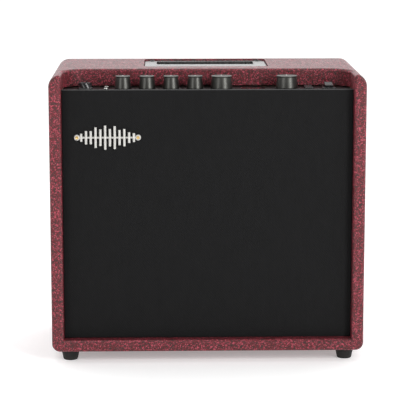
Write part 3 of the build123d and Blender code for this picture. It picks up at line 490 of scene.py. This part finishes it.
@finish
def pressed_paper(scene):
    """Black paper pulp of the cone."""
    base = Vector((0.026, 0.025, 0.024))
    made = Finish("pressed_paper", Specular_IOR_Level=0.25, Sheen_Weight=0.15, Sheen_Roughness=0.6)
    pulp = made.noise(0.0012, 5.0, 0.7)
    made.drive("Base Color", made.ramp(pulp, (0.3, tuple(base * 0.7)), (0.7, tuple(base * 1.5))))
    made.roughen(0.75, 0.9, 0.003)
    made.bump(pulp, 0.00018, 0.8)
    return made


@finish
def yellow_cambric(scene):
    """Resin-dipped cloth of the spider."""
    base = Vector((0.28, 0.17, 0.05))
    made = Finish("yellow_cambric", Roughness=0.8, Specular_IOR_Level=0.25)
    weave = made.cells(0.0006, randomness=0.2)
    made.drive("Base Color", made.ramp(weave, (0.1, tuple(base * 0.7)), (0.6, tuple(base * 1.2))))
    made.bump(weave, 0.0001, 0.8)
    return made


@finish
def tinted_window(scene):
    """Smoked window over the display."""
    made = Finish("tinted_window", Base_Color=(0.006, 0.006, 0.007, 1.0),
                  Coat_Weight=0.5, Coat_Roughness=0.03)
    made.roughen(0.05, 0.09, 0.02)
    made.bump(made.noise(0.02, 2.0), 0.00001, 0.3)
    return made


@finish
def studio_floor(scene):
    """Pale seamless floor."""
    made = Finish("studio_floor", Roughness=0.9, Specular_IOR_Level=0.1)
    base = Vector(scene.amp_stage.floor)
    shade = made.ramp(made.noise(0.4, 2.0), (0.3, tuple(base * 0.985)), (0.7, tuple(base)))
    made.drive("Base Color", shade)
    made.drive("Emission Color", shade)
    made.surface.inputs["Emission Strength"].default_value = scene.amp_stage.floor_glow
    return made


# -------------------------------------------------------------------- meshes


def show(name, mesh):
    """An object for a mesh, linked to the scene at the origin."""
    thing = bpy.data.objects.new(name, mesh)
    bpy.context.scene.collection.objects.link(thing)
    return thing


def mesh_of(name, build, *materials, angle=35.0):
    """A mesh filled by a function of a bmesh, with outward faces and sharp edges by angle."""
    shape = bmesh.new()
    build(shape)
    mesh = bpy.data.meshes.new(name)
    shape.to_mesh(mesh)
    shape.free()
    for material in materials:
        mesh.materials.append(material)
    mesh.shade_smooth()
    mesh.set_sharp_from_angle(angle=math.radians(angle))
    return mesh


def merged_copy(node, name, material, angle=35.0):
    """A copy of a CAD node's mesh with its corners joined and its flat faces shaded flat."""
    def build(shape):
        shape.from_mesh(FRAME["nodes"][node].data)
        bmesh.ops.remove_doubles(shape, verts=shape.verts, dist=1e-6)
    joined = show(name, mesh_of(name, build, material, angle=angle))
    even = joined.modifiers.new("even", "WEIGHTED_NORMAL")
    even.weight = 100
    even.keep_sharp = True
    graph = bpy.context.evaluated_depsgraph_get()
    mesh = bpy.data.meshes.new_from_object(joined.evaluated_get(graph))
    joined.modifiers.clear()
    joined.data = mesh
    return joined


def settle(piece, slot, *nodes, body=MAIN_BODY):
    """Rides a piece on its body in place of CAD nodes."""
    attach(piece, body)
    if nodes:
        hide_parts(*nodes)
    return piece


def slot_of(node):
    """The material slot that the record gives a node."""
    for part in FRAME["record"]["subparts"]:
        if part["node"] == node:
            return part["material_slot"]
    raise RuntimeError(f"no material slot for {node}")


def body_of(node):
    """The body that the record puts a node on."""
    for body, nodes in FRAME["record"]["behaviour"]["bodies"].items():
        if node in nodes:
            return body
    raise RuntimeError(f"no body for {node}")


def dress(node, name, material, angle=35.0):
    """Replaces a CAD node with a smooth copy of itself in a finish."""
    piece = merged_copy(node, name, material, angle)
    return settle(piece, slot_of(node), node, body=body_of(node))


def solids_in(node):
    """Low and high corners of each separate solid of a CAD node."""
    shape = bmesh.new()
    shape.from_mesh(FRAME["nodes"][node].data)
    bmesh.ops.remove_doubles(shape, verts=shape.verts, dist=1e-6)
    left = set(shape.verts)
    boxes = []
    while left:
        reached = [left.pop()]
        for vert in reached:
            for edge in vert.link_edges:
                other = edge.other_vert(vert)
                if other in left:
                    left.remove(other)
                    reached.append(other)
        low = Vector([min(vert.co[axis] for vert in reached) for axis in range(3)])
        high = Vector([max(vert.co[axis] for vert in reached) for axis in range(3)])
        boxes.append((low, high))
    shape.free()
    return sorted(boxes, key=lambda box: tuple(round(value, 5) for value in box[0]))


def lathe(shape, profile, steps, place):
    """Turns (radius, height) points about Z; a radius of 0 closes the shape at a point."""
    rings = []
    for radius, height in profile:
        if radius < 1e-7:
            rings.append([shape.verts.new(place @ Vector((0, 0, height)))])
            continue
        rings.append([
            shape.verts.new(place @ Vector((radius * math.cos(math.tau * step / steps),
                                            radius * math.sin(math.tau * step / steps),
                                            height)))
            for step in range(steps)
        ])
    for near, far in zip(rings, rings[1:]):
        for step in range(steps):
            after = (step + 1) % steps
            corners = [near[step % len(near)], near[after % len(near)],
                       far[after % len(far)], far[step % len(far)]]
            face = list(dict.fromkeys(corners))
            if len(face) > 2:
                shape.faces.new(face)
    bmesh.ops.recalc_face_normals(shape, faces=shape.faces)


# ------------------------------------------------------------ geometry nodes


class Rule:
    """A geometry node tree with named inputs, run on an object and then made plain."""

    def __init__(self, name):
        self.tree = bpy.data.node_groups.new(name, "GeometryNodeTree")
        self.tree.interface.new_socket("Geometry", in_out="INPUT",
                                       socket_type="NodeSocketGeometry")
        self.tree.interface.new_socket("Geometry", in_out="OUTPUT",
                                       socket_type="NodeSocketGeometry")
        self.source = self.tree.nodes.new("NodeGroupInput")
        self.out = self.tree.nodes.new("NodeGroupOutput")
        self.named = {}

    def value(self, name, kind, default=None):
        """A named input of the tree, as an output socket to link from."""
        socket = self.tree.interface.new_socket(name, in_out="INPUT",
                                                socket_type=f"NodeSocket{kind}")
        if default is not None:
            socket.default_value = default
        self.named[name] = socket.identifier
        return self.source.outputs[name]

    def add(self, kind, inputs=None, **attributes):
        """Adds a node; inputs maps a socket's name or number to a value or an output."""
        node = self.tree.nodes.new(kind)
        for key, value in attributes.items():
            setattr(node, key, value)
        for key, value in (inputs or {}).items():
            if isinstance(value, bpy.types.NodeSocket):
                self.tree.links.new(value, node.inputs[key])
            else:
                node.inputs[key].default_value = value
        return node

    def maths(self, operation, first, second=0.0, third=0.0):
        """One step of arithmetic."""
        return self.add("ShaderNodeMath", {0: first, 1: second, 2: third},
                        operation=operation).outputs[0]

    def close(self, geometry):
        """Realizes instances, sets the material and ends the tree."""
        material = self.value("Material", "Material")
        real = self.add("GeometryNodeRealizeInstances", {"Geometry": geometry})
        dressed = self.add("GeometryNodeSetMaterial", {"Geometry": real.outputs[0],
                                                       "Material": material})
        self.tree.links.new(dressed.outputs[0], self.out.inputs[0])

    def run(self, name, start, **values):
        """Evaluates the tree on a mesh and returns the result as a plain object."""
        carrier = show(name, start)
        modifier = carrier.modifiers.new(name, "NODES")
        modifier.node_group = self.tree
        for key, value in values.items():
            modifier[self.named[key.replace("_", " ")]] = value
        graph = bpy.context.evaluated_depsgraph_get()
        graph.update()
        mesh = bpy.data.meshes.new_from_object(carrier.evaluated_get(graph))
        bpy.data.objects.remove(carrier)
        if not mesh.polygons:
            raise RuntimeError(f"{name} came out empty")
        mesh.name = name
        return show(name, mesh)


def points_mesh(name, places):
    """A mesh of loose points."""
    mesh = bpy.data.meshes.new(name)
    mesh.from_pydata([tuple(place) for place in places], [], [])
    return mesh


def copies_rule():
    """Sets a template object on every point, turned one way."""
    rule = Rule("Copies On Points")
    template = rule.value("Template", "Object")
    turn = rule.value("Turn", "Rotation")
    info = rule.add("GeometryNodeObjectInfo", {"Object": template})
    placed = rule.add("GeometryNodeInstanceOnPoints", {
        "Points": rule.source.outputs["Geometry"], "Instance": info.outputs["Geometry"],
        "Rotation": turn,
    })
    rule.close(placed.outputs["Instances"])
    return rule


def ticks_rule():
    """Small upright blocks spread evenly over an arc about the origin."""
    rule = Rule("Ticks Round An Arc")
    count = rule.value("Count", "Int", 11)
    radius = rule.value("Radius", "Float", 0.01)
    sweep = rule.value("Sweep", "Float", math.radians(300))
    size = rule.value("Tick Size", "Vector")
    line = rule.add("GeometryNodeMeshLine", {"Count": count, "Offset": (0.0, 0.0, 0.0)})
    index = rule.add("GeometryNodeInputIndex").outputs[0]
    last = rule.maths("SUBTRACT", count, 1.0)
    along = rule.maths("SUBTRACT", rule.maths("DIVIDE", index, last), 0.5)
    angle = rule.maths("MULTIPLY", along, sweep)
    place = rule.add("ShaderNodeCombineXYZ", {
        "X": rule.maths("MULTIPLY", rule.maths("SINE", angle), radius),
        "Y": rule.maths("MULTIPLY", rule.maths("COSINE", angle), radius),
    })
    turn = rule.add("ShaderNodeCombineXYZ", {"Z": rule.maths("MULTIPLY", angle, -1.0)})
    tick = rule.add("GeometryNodeMeshCube", {"Size": size})
    spread = rule.add("GeometryNodeSetPosition", {"Geometry": line.outputs[0],
                                                  "Position": place.outputs[0]})
    placed = rule.add("GeometryNodeInstanceOnPoints", {
        "Points": spread.outputs[0], "Instance": tick.outputs["Mesh"],
        "Rotation": rule.add("FunctionNodeEulerToRotation", {0: turn.outputs[0]}).outputs[0],
    })
    centres = rule.add("GeometryNodeInstanceOnPoints", {
        "Points": rule.source.outputs["Geometry"], "Instance": placed.outputs["Instances"],
    })
    rule.close(centres.outputs["Instances"])
    return rule


def wave_rule():
    """Rounded upright bars in a row, tall in the middle and every other one shorter."""
    rule = Rule("Bars Of A Wave")
    count = rule.value("Count", "Int", 12)
    pitch = rule.value("Pitch", "Float", 0.0059)
    tall = rule.value("Tallest", "Float", 0.03)
    least = rule.value("Shortest", "Float", 0.008)
    short = rule.value("Short Share", "Float", 0.62)
    radius = rule.value("Bar Radius", "Float", 0.0016)
    flat = rule.value("Flatten", "Float", 0.9)
    first = rule.maths("MULTIPLY", rule.maths("SUBTRACT", count, 1.0), -0.5)
    index = rule.add("GeometryNodeInputIndex").outputs[0]
    across = rule.maths("MULTIPLY", rule.maths("ADD", first, index), pitch)
    share_along = rule.maths("DIVIDE", rule.maths("ADD", index, 0.5), count)
    swell = rule.maths("SINE", rule.maths("MULTIPLY", share_along, math.pi))
    odd = rule.maths("MODULO", index, 2.0)
    rest = rule.maths("SUBTRACT", 1.0, short)
    weight = rule.maths("ADD", short, rule.maths("MULTIPLY", odd, rest))
    reach = rule.maths("MULTIPLY", rule.maths("SUBTRACT", tall, least), swell)
    height = rule.maths("ADD", rule.maths("MULTIPLY", reach, weight), least)
    line = rule.add("GeometryNodeMeshLine", {"Count": count, "Offset": (0.0, 0.0, 0.0)})
    place = rule.add("ShaderNodeCombineXYZ", {"X": across})
    spread = rule.add("GeometryNodeSetPosition", {"Geometry": line.outputs[0],
                                                  "Position": place.outputs[0]})
    upright = rule.add("GeometryNodeCurvePrimitiveLine", {"Start": (0.0, 0.0, -0.5),
                                                          "End": (0.0, 0.0, 0.5)})
    stretch = rule.add("ShaderNodeCombineXYZ", {"X": 1.0, "Y": 1.0, "Z": height})
    placed = rule.add("GeometryNodeInstanceOnPoints", {
        "Points": spread.outputs[0], "Instance": upright.outputs[0],
        "Scale": stretch.outputs[0],
    })
    real = rule.add("GeometryNodeRealizeInstances", {"Geometry": placed.outputs[0]})
    fine = rule.add("GeometryNodeResampleCurve", {"Curve": real.outputs[0]}, mode="LENGTH")
    rule.tree.links.new(rule.maths("MULTIPLY", radius, 0.2), fine.inputs["Length"])
    spot = rule.add("GeometryNodeSplineParameter").outputs["Length"]
    whole = rule.add("GeometryNodeSplineLength").outputs["Length"]
    end = rule.maths("MINIMUM", spot, rule.maths("SUBTRACT", whole, spot))
    left = rule.maths("SUBTRACT", 1.0, rule.maths("DIVIDE", end, radius))
    past = rule.maths("MAXIMUM", left, 0.0)
    round_end = rule.maths("SQRT", rule.maths("MAXIMUM", rule.maths(
        "SUBTRACT", 1.0, rule.maths("MULTIPLY", past, past)), 0.0004))
    shaped = rule.add("GeometryNodeSetCurveRadius", {"Curve": fine.outputs[0],
                                                     "Radius": round_end})
    ring = rule.add("GeometryNodeCurvePrimitiveCircle", {"Resolution": 16, "Radius": radius})
    oval = rule.add("ShaderNodeCombineXYZ", {"X": 1.0, "Y": flat, "Z": 1.0})
    squash = rule.add("GeometryNodeTransform", {"Geometry": ring.outputs[0],
                                                "Scale": oval.outputs[0]})
    solid = rule.add("GeometryNodeCurveToMesh", {"Curve": shaped.outputs[0],
                                                 "Profile Curve": squash.outputs[0],
                                                 "Fill Caps": True})
    rule.close(solid.outputs[0])
    return rule


# ----------------------------------------------------------------- operators


class AmpCovering(bpy.types.Operator):
    """Covers the cabinet in flake vinyl"""

    bl_idname = "amp.covering"
    bl_label = "Vinyl Covering"

    def execute(self, context):
        dress("covering", "vinyl_covering", flake_vinyl(context), 30.0)
        return {"FINISHED"}


class AmpBoards(bpy.types.Operator):
    """Finishes the bare boards and the painted rear panels"""

    bl_idname = "amp.boards"
    bl_label = "Boards"

    def execute(self, context):
        for node in ("side_left", "side_right", "top_panel", "bottom_panel", "recess_rail",
                     "baffle", "cleats", "grille_frame"):
            dress(node, f"{node}_board", bare_board(context))
        for node in ("rear_panel_upper", "rear_panel_lower"):
            dress(node, f"{node}_painted", textured_paint(context))
        return {"FINISHED"}


class AmpGrille(bpy.types.Operator):
    """Stretches the grille cloth over its frame"""

    bl_idname = "amp.grille"
    bl_label = "Grille Cloth"

    def execute(self, context):
        low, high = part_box("grille_cloth")
        cloth = show("grille_cloth_sheet", self.sheet(context, low, high))
        settle(cloth, slot_of("grille_cloth"), "grille_cloth")
        return {"FINISHED"}

    def sheet(self, context, low, high):
        """A cloth face with rounded edges that turn back over the frame."""
        radius, steps, thick = 0.0022, 5, 0.0006
        middle = (low + high) / 2
        rings = [(0.0, high.y)]
        for step in range(steps + 1):
            turn = math.pi / 2 * step / steps
            rings.append((radius * (1 - math.cos(turn)), low.y + radius * (1 - math.sin(turn))))

        def build(shape):
            rows = []
            for inset, depth in rings:
                x, z = high.x - middle.x - inset, high.z - middle.z - inset
                rows.append([
                    shape.verts.new((middle.x + sx * x, depth, middle.z + sz * z))
                    for sx, sz in ((-1, -1), (1, -1), (1, 1), (-1, 1))
                ])
            for near, far in zip(rows, rows[1:]):
                for side in range(4):
                    after = (side + 1) % 4
                    shape.faces.new((near[side], near[after], far[after], far[side]))
            shape.faces.new(rows[-1])
            bmesh.ops.recalc_face_normals(shape, faces=shape.faces)
            bmesh.ops.solidify(shape, geom=shape.faces, thickness=thick)
            bmesh.ops.recalc_face_normals(shape, faces=shape.faces)

        return mesh_of("grille_cloth_sheet", build, woven_cloth(context), angle=60.0)


class AmpBadge(bpy.types.Operator):
    """Makes the sound-wave badge and its pins"""

    bl_idname = "amp.badge"
    bl_label = "Badge"

    def execute(self, context):
        look = context.scene.amp_grille
        low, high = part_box("badge")
        middle = (low + high) / 2
        pads = solids_in("badge_pins")
        pad_radius, chamfer, rod_radius, end_gap = 0.0036, 0.0006, 0.0012, 0.0032
        first, last = ((box[0] + box[1]) / 2 for box in pads)
        count = look.bar_count
        pitch = (last.x - first.x - 2 * pad_radius - end_gap) / (count - 1)
        half = (high.y - low.y) / 2
        start = points_mesh("badge_start", [(0, 0, 0)])
        bars = wave_rule().run("badge_bars", start, Count=count, Pitch=pitch,
                               Tallest=high.z - low.z, Material=pearl(context))
        place = middle.copy()
        bars.data.transform(Matrix.Translation(place))

        def extras(shape):
            shape.from_mesh(bars.data)
            spine = Matrix.Translation(place) @ Matrix.Rotation(math.pi / 2, 4, "Y")
            reach = (last.x - first.x) / 2
            rod = [(0.0, -reach), (rod_radius, -reach), (rod_radius, reach), (0.0, reach)]
            lathe(shape, rod, 16, spine)
            for centre in (first, last):
                disc = [(0.0, half), (pad_radius, half), (pad_radius, chamfer - half),
                        (pad_radius - chamfer, -half), (0.0, -half)]
                turn = Matrix.Rotation(-math.pi / 2, 4, "X")
                lathe(shape, disc, 32,
                      Matrix.Translation((centre.x, middle.y, middle.z)) @ turn)

        badge = show("sound_wave_badge", mesh_of("sound_wave_badge", extras, pearl(context)))
        bpy.data.objects.remove(bars)
        settle(badge, slot_of("badge"), "badge")
        dress("badge_pins", "brass_badge_pins", brass(context))
        return {"FINISHED"}


class AmpHandle(bpy.types.Operator):
    """Finishes the recessed handle"""

    bl_idname = "amp.handle"
    bl_label = "Handle"

    def execute(self, context):
        dress("handle_insert", "moulded_handle", handle_plastic(context))
        return {"FINISHED"}


class AmpFeet(bpy.types.Operator):
    """Finishes the rubber feet"""

    bl_idname = "amp.feet"
    bl_label = "Feet"

    def execute(self, context):
        dress("feet", "rubber_feet", foot_rubber(context))
        return {"FINISHED"}


class AmpPanel(bpy.types.Operator):
    """Paints the control panel and prints its marks"""

    bl_idname = "amp.panel"
    bl_label = "Control Panel"

    def execute(self, context):
        look = context.scene.amp_controls
        dress("control_panel", "painted_panel", panel_paint(context))
        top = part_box("control_panel")[1].z
        rule = ticks_rule()
        groups = {"small": [], "large": []}
        for name in (*POTS, "encoder"):
            low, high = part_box(f"knob_{name}")
            size = "large" if high.x - low.x > 0.025 else "small"
            groups[size].append(((low.x + high.x) / 2, (low.y + high.y) / 2, top))
        for size, places in groups.items():
            low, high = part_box("knob_master" if size == "large" else "knob_gain")
            ring = (high.x - low.x) / 2 + 0.0018
            marks = rule.run(f"panel_ticks_{size}", points_mesh(f"ticks_{size}", places),
                             Count=look.tick_count, Radius=ring,
                             Tick_Size=Vector((0.0004, 0.0014, 0.0001)),
                             Material=printed_mark(context))
            settle(marks, slot_of("control_panel"))
        return {"FINISHED"}


class AmpKnobs(bpy.types.Operator):
    """Turns the six knobs, with their shafts, bushings and nuts"""

    bl_idname = "amp.knobs"
    bl_label = "Knobs"

    def execute(self, context):
        for name in (*POTS, "encoder"):
            node = f"knob_{name}"
            knob = show(f"turned_knob_{name}", self.knob(context, node))
            settle(knob, slot_of(node), node, body=body_of(node))
            shaft = f"shaft_{name}" if name in POTS else "encoder_shaft"
            dress(shaft, f"steel_{shaft}", bright_steel(context))
        for node in ("encoder_sleeve", "bushing_nuts", "potentiometers", "encoder_body"):
            dress(node, f"plated_{node}", bright_steel(context))
        return {"FINISHED"}

    def knob(self, context, node):
        """A tapered knob with turned lines, a bright rim, a dished top and a pointer."""
        look = context.scene.amp_controls
        low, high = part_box(node)
        base = (high.x - low.x) / 2
        taper = 0.0011 if base > 0.012 else 0.0013
        crown = base - taper
        tall = high.z - low.z
        wall, hollow, lip, rim = 0.0022, 0.0059, 0.0007, 0.0013
        neck = crown - lip
        start, end = 0.0014, tall - rim - lip / 2
        lines = int((end - start) / look.groove_pitch)
        profile = [(0.0, hollow), (base - wall, hollow), (base - wall, 0.0), (base - 0.0004, 0.0),
                   (base, 0.0004), (base, 0.0012)]
        for line in range(lines * 2):
            along = (line + 0.5) / (lines * 2)
            radius = base + (neck - base) * along
            dip = look.groove if line % 2 else 0.0
            profile.append((radius - dip, start + (end - start) * along))
        profile += [(neck, end), (crown - 0.0001, tall - rim), (crown, tall - rim + 0.0002),
                    (crown, tall - 0.0004), (crown - 0.0002, tall - 0.0001),
                    (crown - 0.0005, tall), (crown - 0.0018, tall),
                    (crown - 0.0023, tall - 0.0004), (0.0, tall - 0.0004)]
        centre = Vector(((low.x + high.x) / 2, (low.y + high.y) / 2, low.z))

        def build(shape):
            lathe(shape, profile, 96, Matrix.Translation(centre))
            pointer = bmesh.ops.create_cube(shape, size=1.0)["verts"]
            reach = crown - 0.0026
            bmesh.ops.scale(shape, verts=pointer, vec=(0.001, reach * 0.6, 0.0003))
            bmesh.ops.translate(shape, verts=pointer,
                                vec=centre + Vector((0, reach * 0.68, tall - 0.0003)))
            for face in {face for vert in pointer for face in vert.link_faces}:
                face.material_index = 1

        return mesh_of(f"turned_{node}", build, turned_metal(context), printed_mark(context),
                       angle=25.0)


class AmpSmallControls(bpy.types.Operator):
    """Finishes the buttons, display, power switch and jacks"""

    bl_idname = "amp.small_controls"
    bl_label = "Buttons, Switch And Jacks"

    def execute(self, context):
        for node in ("button_1", "button_2", "button_3", "button_4", "power_switch_body",
                     "power_rocker", "input_jack", "mains_inlet"):
            dress(node, f"moulded_{node}", gloss_black(context))
        for node in ("aux_jack", "phones_jack"):
            dress(node, f"chromed_{node}", chromed(context))
        dress("display_window", "smoked_display_window", tinted_window(context))
        return {"FINISHED"}


class AmpLoudspeaker(bpy.types.Operator):
    """Finishes every part of the loudspeaker"""

    bl_idname = "amp.loudspeaker"
    bl_label = "Loudspeaker"

    def execute(self, context):
        for node, material in (("speaker_basket", basket_paint), ("speaker_plates", zinc_sheet),
                               ("speaker_magnet", ferrite), ("voice_coil", copper_wire),
                               ("speaker_surround", roll_rubber),
                               ("speaker_spider", yellow_cambric),
                               ("speaker_cone", pressed_paper), ("dust_cap", pressed_paper)):
            dress(node, f"finished_{node}", material(context))
        return {"FINISHED"}


class AmpElectronics(bpy.types.Operator):
    """Finishes the chassis and its boards"""

    bl_idname = "amp.electronics"
    bl_label = "Chassis And Boards"

    def execute(self, context):
        dress("chassis", "plated_chassis", zinc_sheet(context))
        for node in ("main_board", "power_supply"):
            dress(node, f"{node}_masked", circuit_board(context))
        return {"FINISHED"}


class AmpScrews(bpy.types.Operator):
    """Sets every visible screw from one pattern"""

    bl_idname = "amp.screws"
    bl_label = "Screws"

    GROUPS = {
        "handle_screws": ((0, 0, 1), black_oxide),
        "foot_screws": ((0, 0, -1), black_oxide),
        "rear_panel_screws": ((0, 1, 0), black_oxide),
        "speaker_screws": ((0, 1, 0), bright_steel),
    }

    def execute(self, context):
        rule = copies_rule()
        for node, (facing, material) in self.GROUPS.items():
            facing = Vector(facing)
            axis = max(range(3), key=lambda index: abs(facing[index]))
            boxes = solids_in(node)
            low, high = boxes[0]
            across = (axis + 1) % 3
            radius = (high[across] - low[across]) / 2
            depth = high[axis] - low[axis]
            template = show("screw_template", self.screw(radius, depth))
            tops = []
            for low, high in boxes:
                top = (low + high) / 2
                top[axis] = high[axis] if facing[axis] > 0 else low[axis]
                tops.append(top)
            turn = facing.to_track_quat("Z", "Y").to_euler()
            screws = rule.run(f"set_{node}", points_mesh(node, tops), Template=template,
                              Turn=turn, Material=material(context))
            bpy.data.objects.remove(template)
            settle(screws, slot_of(node), node)
        dress("chassis_screws", "set_chassis_screws", bright_steel(context))
        return {"FINISHED"}

    def screw(self, radius, depth):
        """A pan-head screw with a cross recess, hanging below its top."""
        rise = radius * 0.5
        shank = radius * 0.45

        def build(shape):
            steps, recess, arm = 48, radius * 0.55, radius * 0.14
            profile = [(0.0, -depth), (shank, shank * 2 - depth), (shank, -rise),
                       (radius * 0.97, -rise), (radius, -rise * 0.85), (radius * 0.93, -rise * 0.4),
                       (radius * 0.75, -rise * 0.1), (radius * 0.62, 0.0)]
            lathe(shape, profile, steps, Matrix.Identity(4))
            rim = [vert for vert in shape.verts if abs(vert.co.z) < 1e-9]
            rim.sort(key=lambda vert: math.atan2(vert.co.y, vert.co.x))
            cross = []
            for quarter in range(4):
                turn = Matrix.Rotation(quarter * math.pi / 2, 4, "Z")
                for spot in ((recess, -arm), (recess, arm), (arm, arm)):
                    cross.append(turn @ Vector((*spot, 0.0)))
            top = [shape.verts.new(spot) for spot in cross]
            foot = [shape.verts.new(spot * 0.8 - Vector((0, 0, rise * 0.8))) for spot in cross]
            edges = [shape.edges.new((top[i], top[(i + 1) % 12])) for i in range(12)]
            edges += [shape.edges.get((rim[i], rim[(i + 1) % steps])) for i in range(steps)]
            bmesh.ops.triangle_fill(shape, edges=edges, use_beauty=True)
            for i in range(12):
                after = (i + 1) % 12
                shape.faces.new((top[i], top[after], foot[after], foot[i]))
            shape.faces.new(foot)
            bmesh.ops.recalc_face_normals(shape, faces=shape.faces)

        return mesh_of("screw_template", build, angle=30.0)


class AmpStage(bpy.types.Operator):
    """Sets the floor, the lights and the camera"""

    bl_idname = "amp.stage"
    bl_label = "Floor, Lights And Camera"

    def execute(self, context):
        self.floor(context)
        self.world(context)
        self.lights(context)
        self.camera(context)
        context.scene.view_settings.view_transform = "Standard"
        return {"FINISHED"}

    def floor(self, context):
        """A wide flat floor under the feet."""
        def build(shape):
            bmesh.ops.create_grid(shape, x_segments=8, y_segments=8, size=12.0)
        floor = show("floor", mesh_of("floor", build, studio_floor(context)))

    def world(self, context):
        """A pale surround, brightest behind the amplifier."""
        look = context.scene.amp_stage
        world = bpy.data.worlds.new("surround")
        context.scene.world = world
        world.use_nodes = True
        tree = world.node_tree
        way = tree.nodes.new("ShaderNodeTexCoord").outputs["Generated"]
        axes = tree.nodes.new("ShaderNodeSeparateXYZ")
        blend = tree.nodes.new("ShaderNodeMapRange")
        blend.interpolation_type = "SMOOTHSTEP"
        for socket, value in (("From Min", -0.35), ("From Max", 0.5),
                              ("To Min", look.front_glow), ("To Max", look.back_glow)):
            blend.inputs[socket].default_value = value
        tree.links.new(way, axes.inputs["Vector"])
        tree.links.new(axes.outputs["Y"], blend.inputs["Value"])
        tree.links.new(blend.outputs["Result"], tree.nodes["Background"].inputs["Strength"])
        tree.nodes["Background"].inputs["Color"].default_value = (1.0, 1.0, 1.0, 1.0)

    def lights(self, context):
        """Large soft boxes at both sides and above."""
        look = context.scene.amp_stage
        middle = Vector((0.0, 0.0, CAD_BOX[1][2] / 2))
        for name, spot, power, wide, tall in (
            ("left_box", (-1.5, -1.9, 1.3), look.left_power, 0.7, 1.3),
            ("right_box", (1.5, -1.9, 1.2), look.right_power, 0.7, 1.3),
            ("top_box", (0.0, 0.2, 2.2), look.top_power, 1.8, 1.2),
        ):
            lamp = bpy.data.lights.new(name, "AREA")
            lamp.energy = power
            lamp.shape = "RECTANGLE"
            lamp.size = wide
            lamp.size_y = tall
            light = bpy.data.objects.new(name, lamp)
            context.scene.collection.objects.link(light)
            light.location = spot
            aim = middle - Vector(spot)
            light.rotation_euler = aim.to_track_quat("-Z", "Y").to_euler()

    def camera(self, context):
        """The camera in front of the amplifier, a little above it."""
        look = context.scene.amp_stage
        data = bpy.data.cameras.new("camera")
        data.sensor_width = 36.0
        data.lens = look.lens
        data.shift_y = look.rise
        camera = bpy.data.objects.new("camera", data)
        context.scene.collection.objects.link(camera)
        front = CAD_BOX[0][1]
        camera.location = (look.distance * math.sin(look.yaw),
                           front - look.distance * math.cos(look.yaw), look.height)
        camera.rotation_euler = (math.pi / 2 - look.pitch, 0.0, look.yaw)
        context.scene.camera = camera


class AMP_PT_sidebar(bpy.types.Panel):
    """Lists the amplifier's steps and settings"""

    bl_label = "Combo Guitar Amplifier"
    bl_space_type = "VIEW_3D"
    bl_region_type = "UI"
    bl_category = "Amplifier"

    def draw(self, context):
        for step in STEPS:
            self.layout.operator(step.bl_idname)
        for name, kind in SETTINGS.items():
            group = getattr(context.scene, name)
            box = self.layout.box()
            for key in kind.__annotations__:
                box.prop(group, key)


STEPS = (
    AmpStage, AmpCovering, AmpBoards, AmpGrille, AmpBadge, AmpHandle, AmpFeet, AmpPanel,
    AmpKnobs, AmpSmallControls, AmpLoudspeaker, AmpElectronics, AmpScrews,
)
CLASSES = (*SETTINGS.values(), *STEPS, AMP_PT_sidebar)


def register():
    for cls in CLASSES:
        bpy.utils.register_class(cls)
    for name, kind in SETTINGS.items():
        setattr(bpy.types.Scene, name, PointerProperty(type=kind))


def unregister():
    for name in SETTINGS:
        delattr(bpy.types.Scene, name)
    for cls in reversed(CLASSES):
        bpy.utils.unregister_class(cls)


def main():
    """Builds everything in order."""
    register()
    for step in STEPS:
        group, name = step.bl_idname.split(".")
        getattr(getattr(bpy.ops, group), name)()


if __name__ == "__main__":
    main()
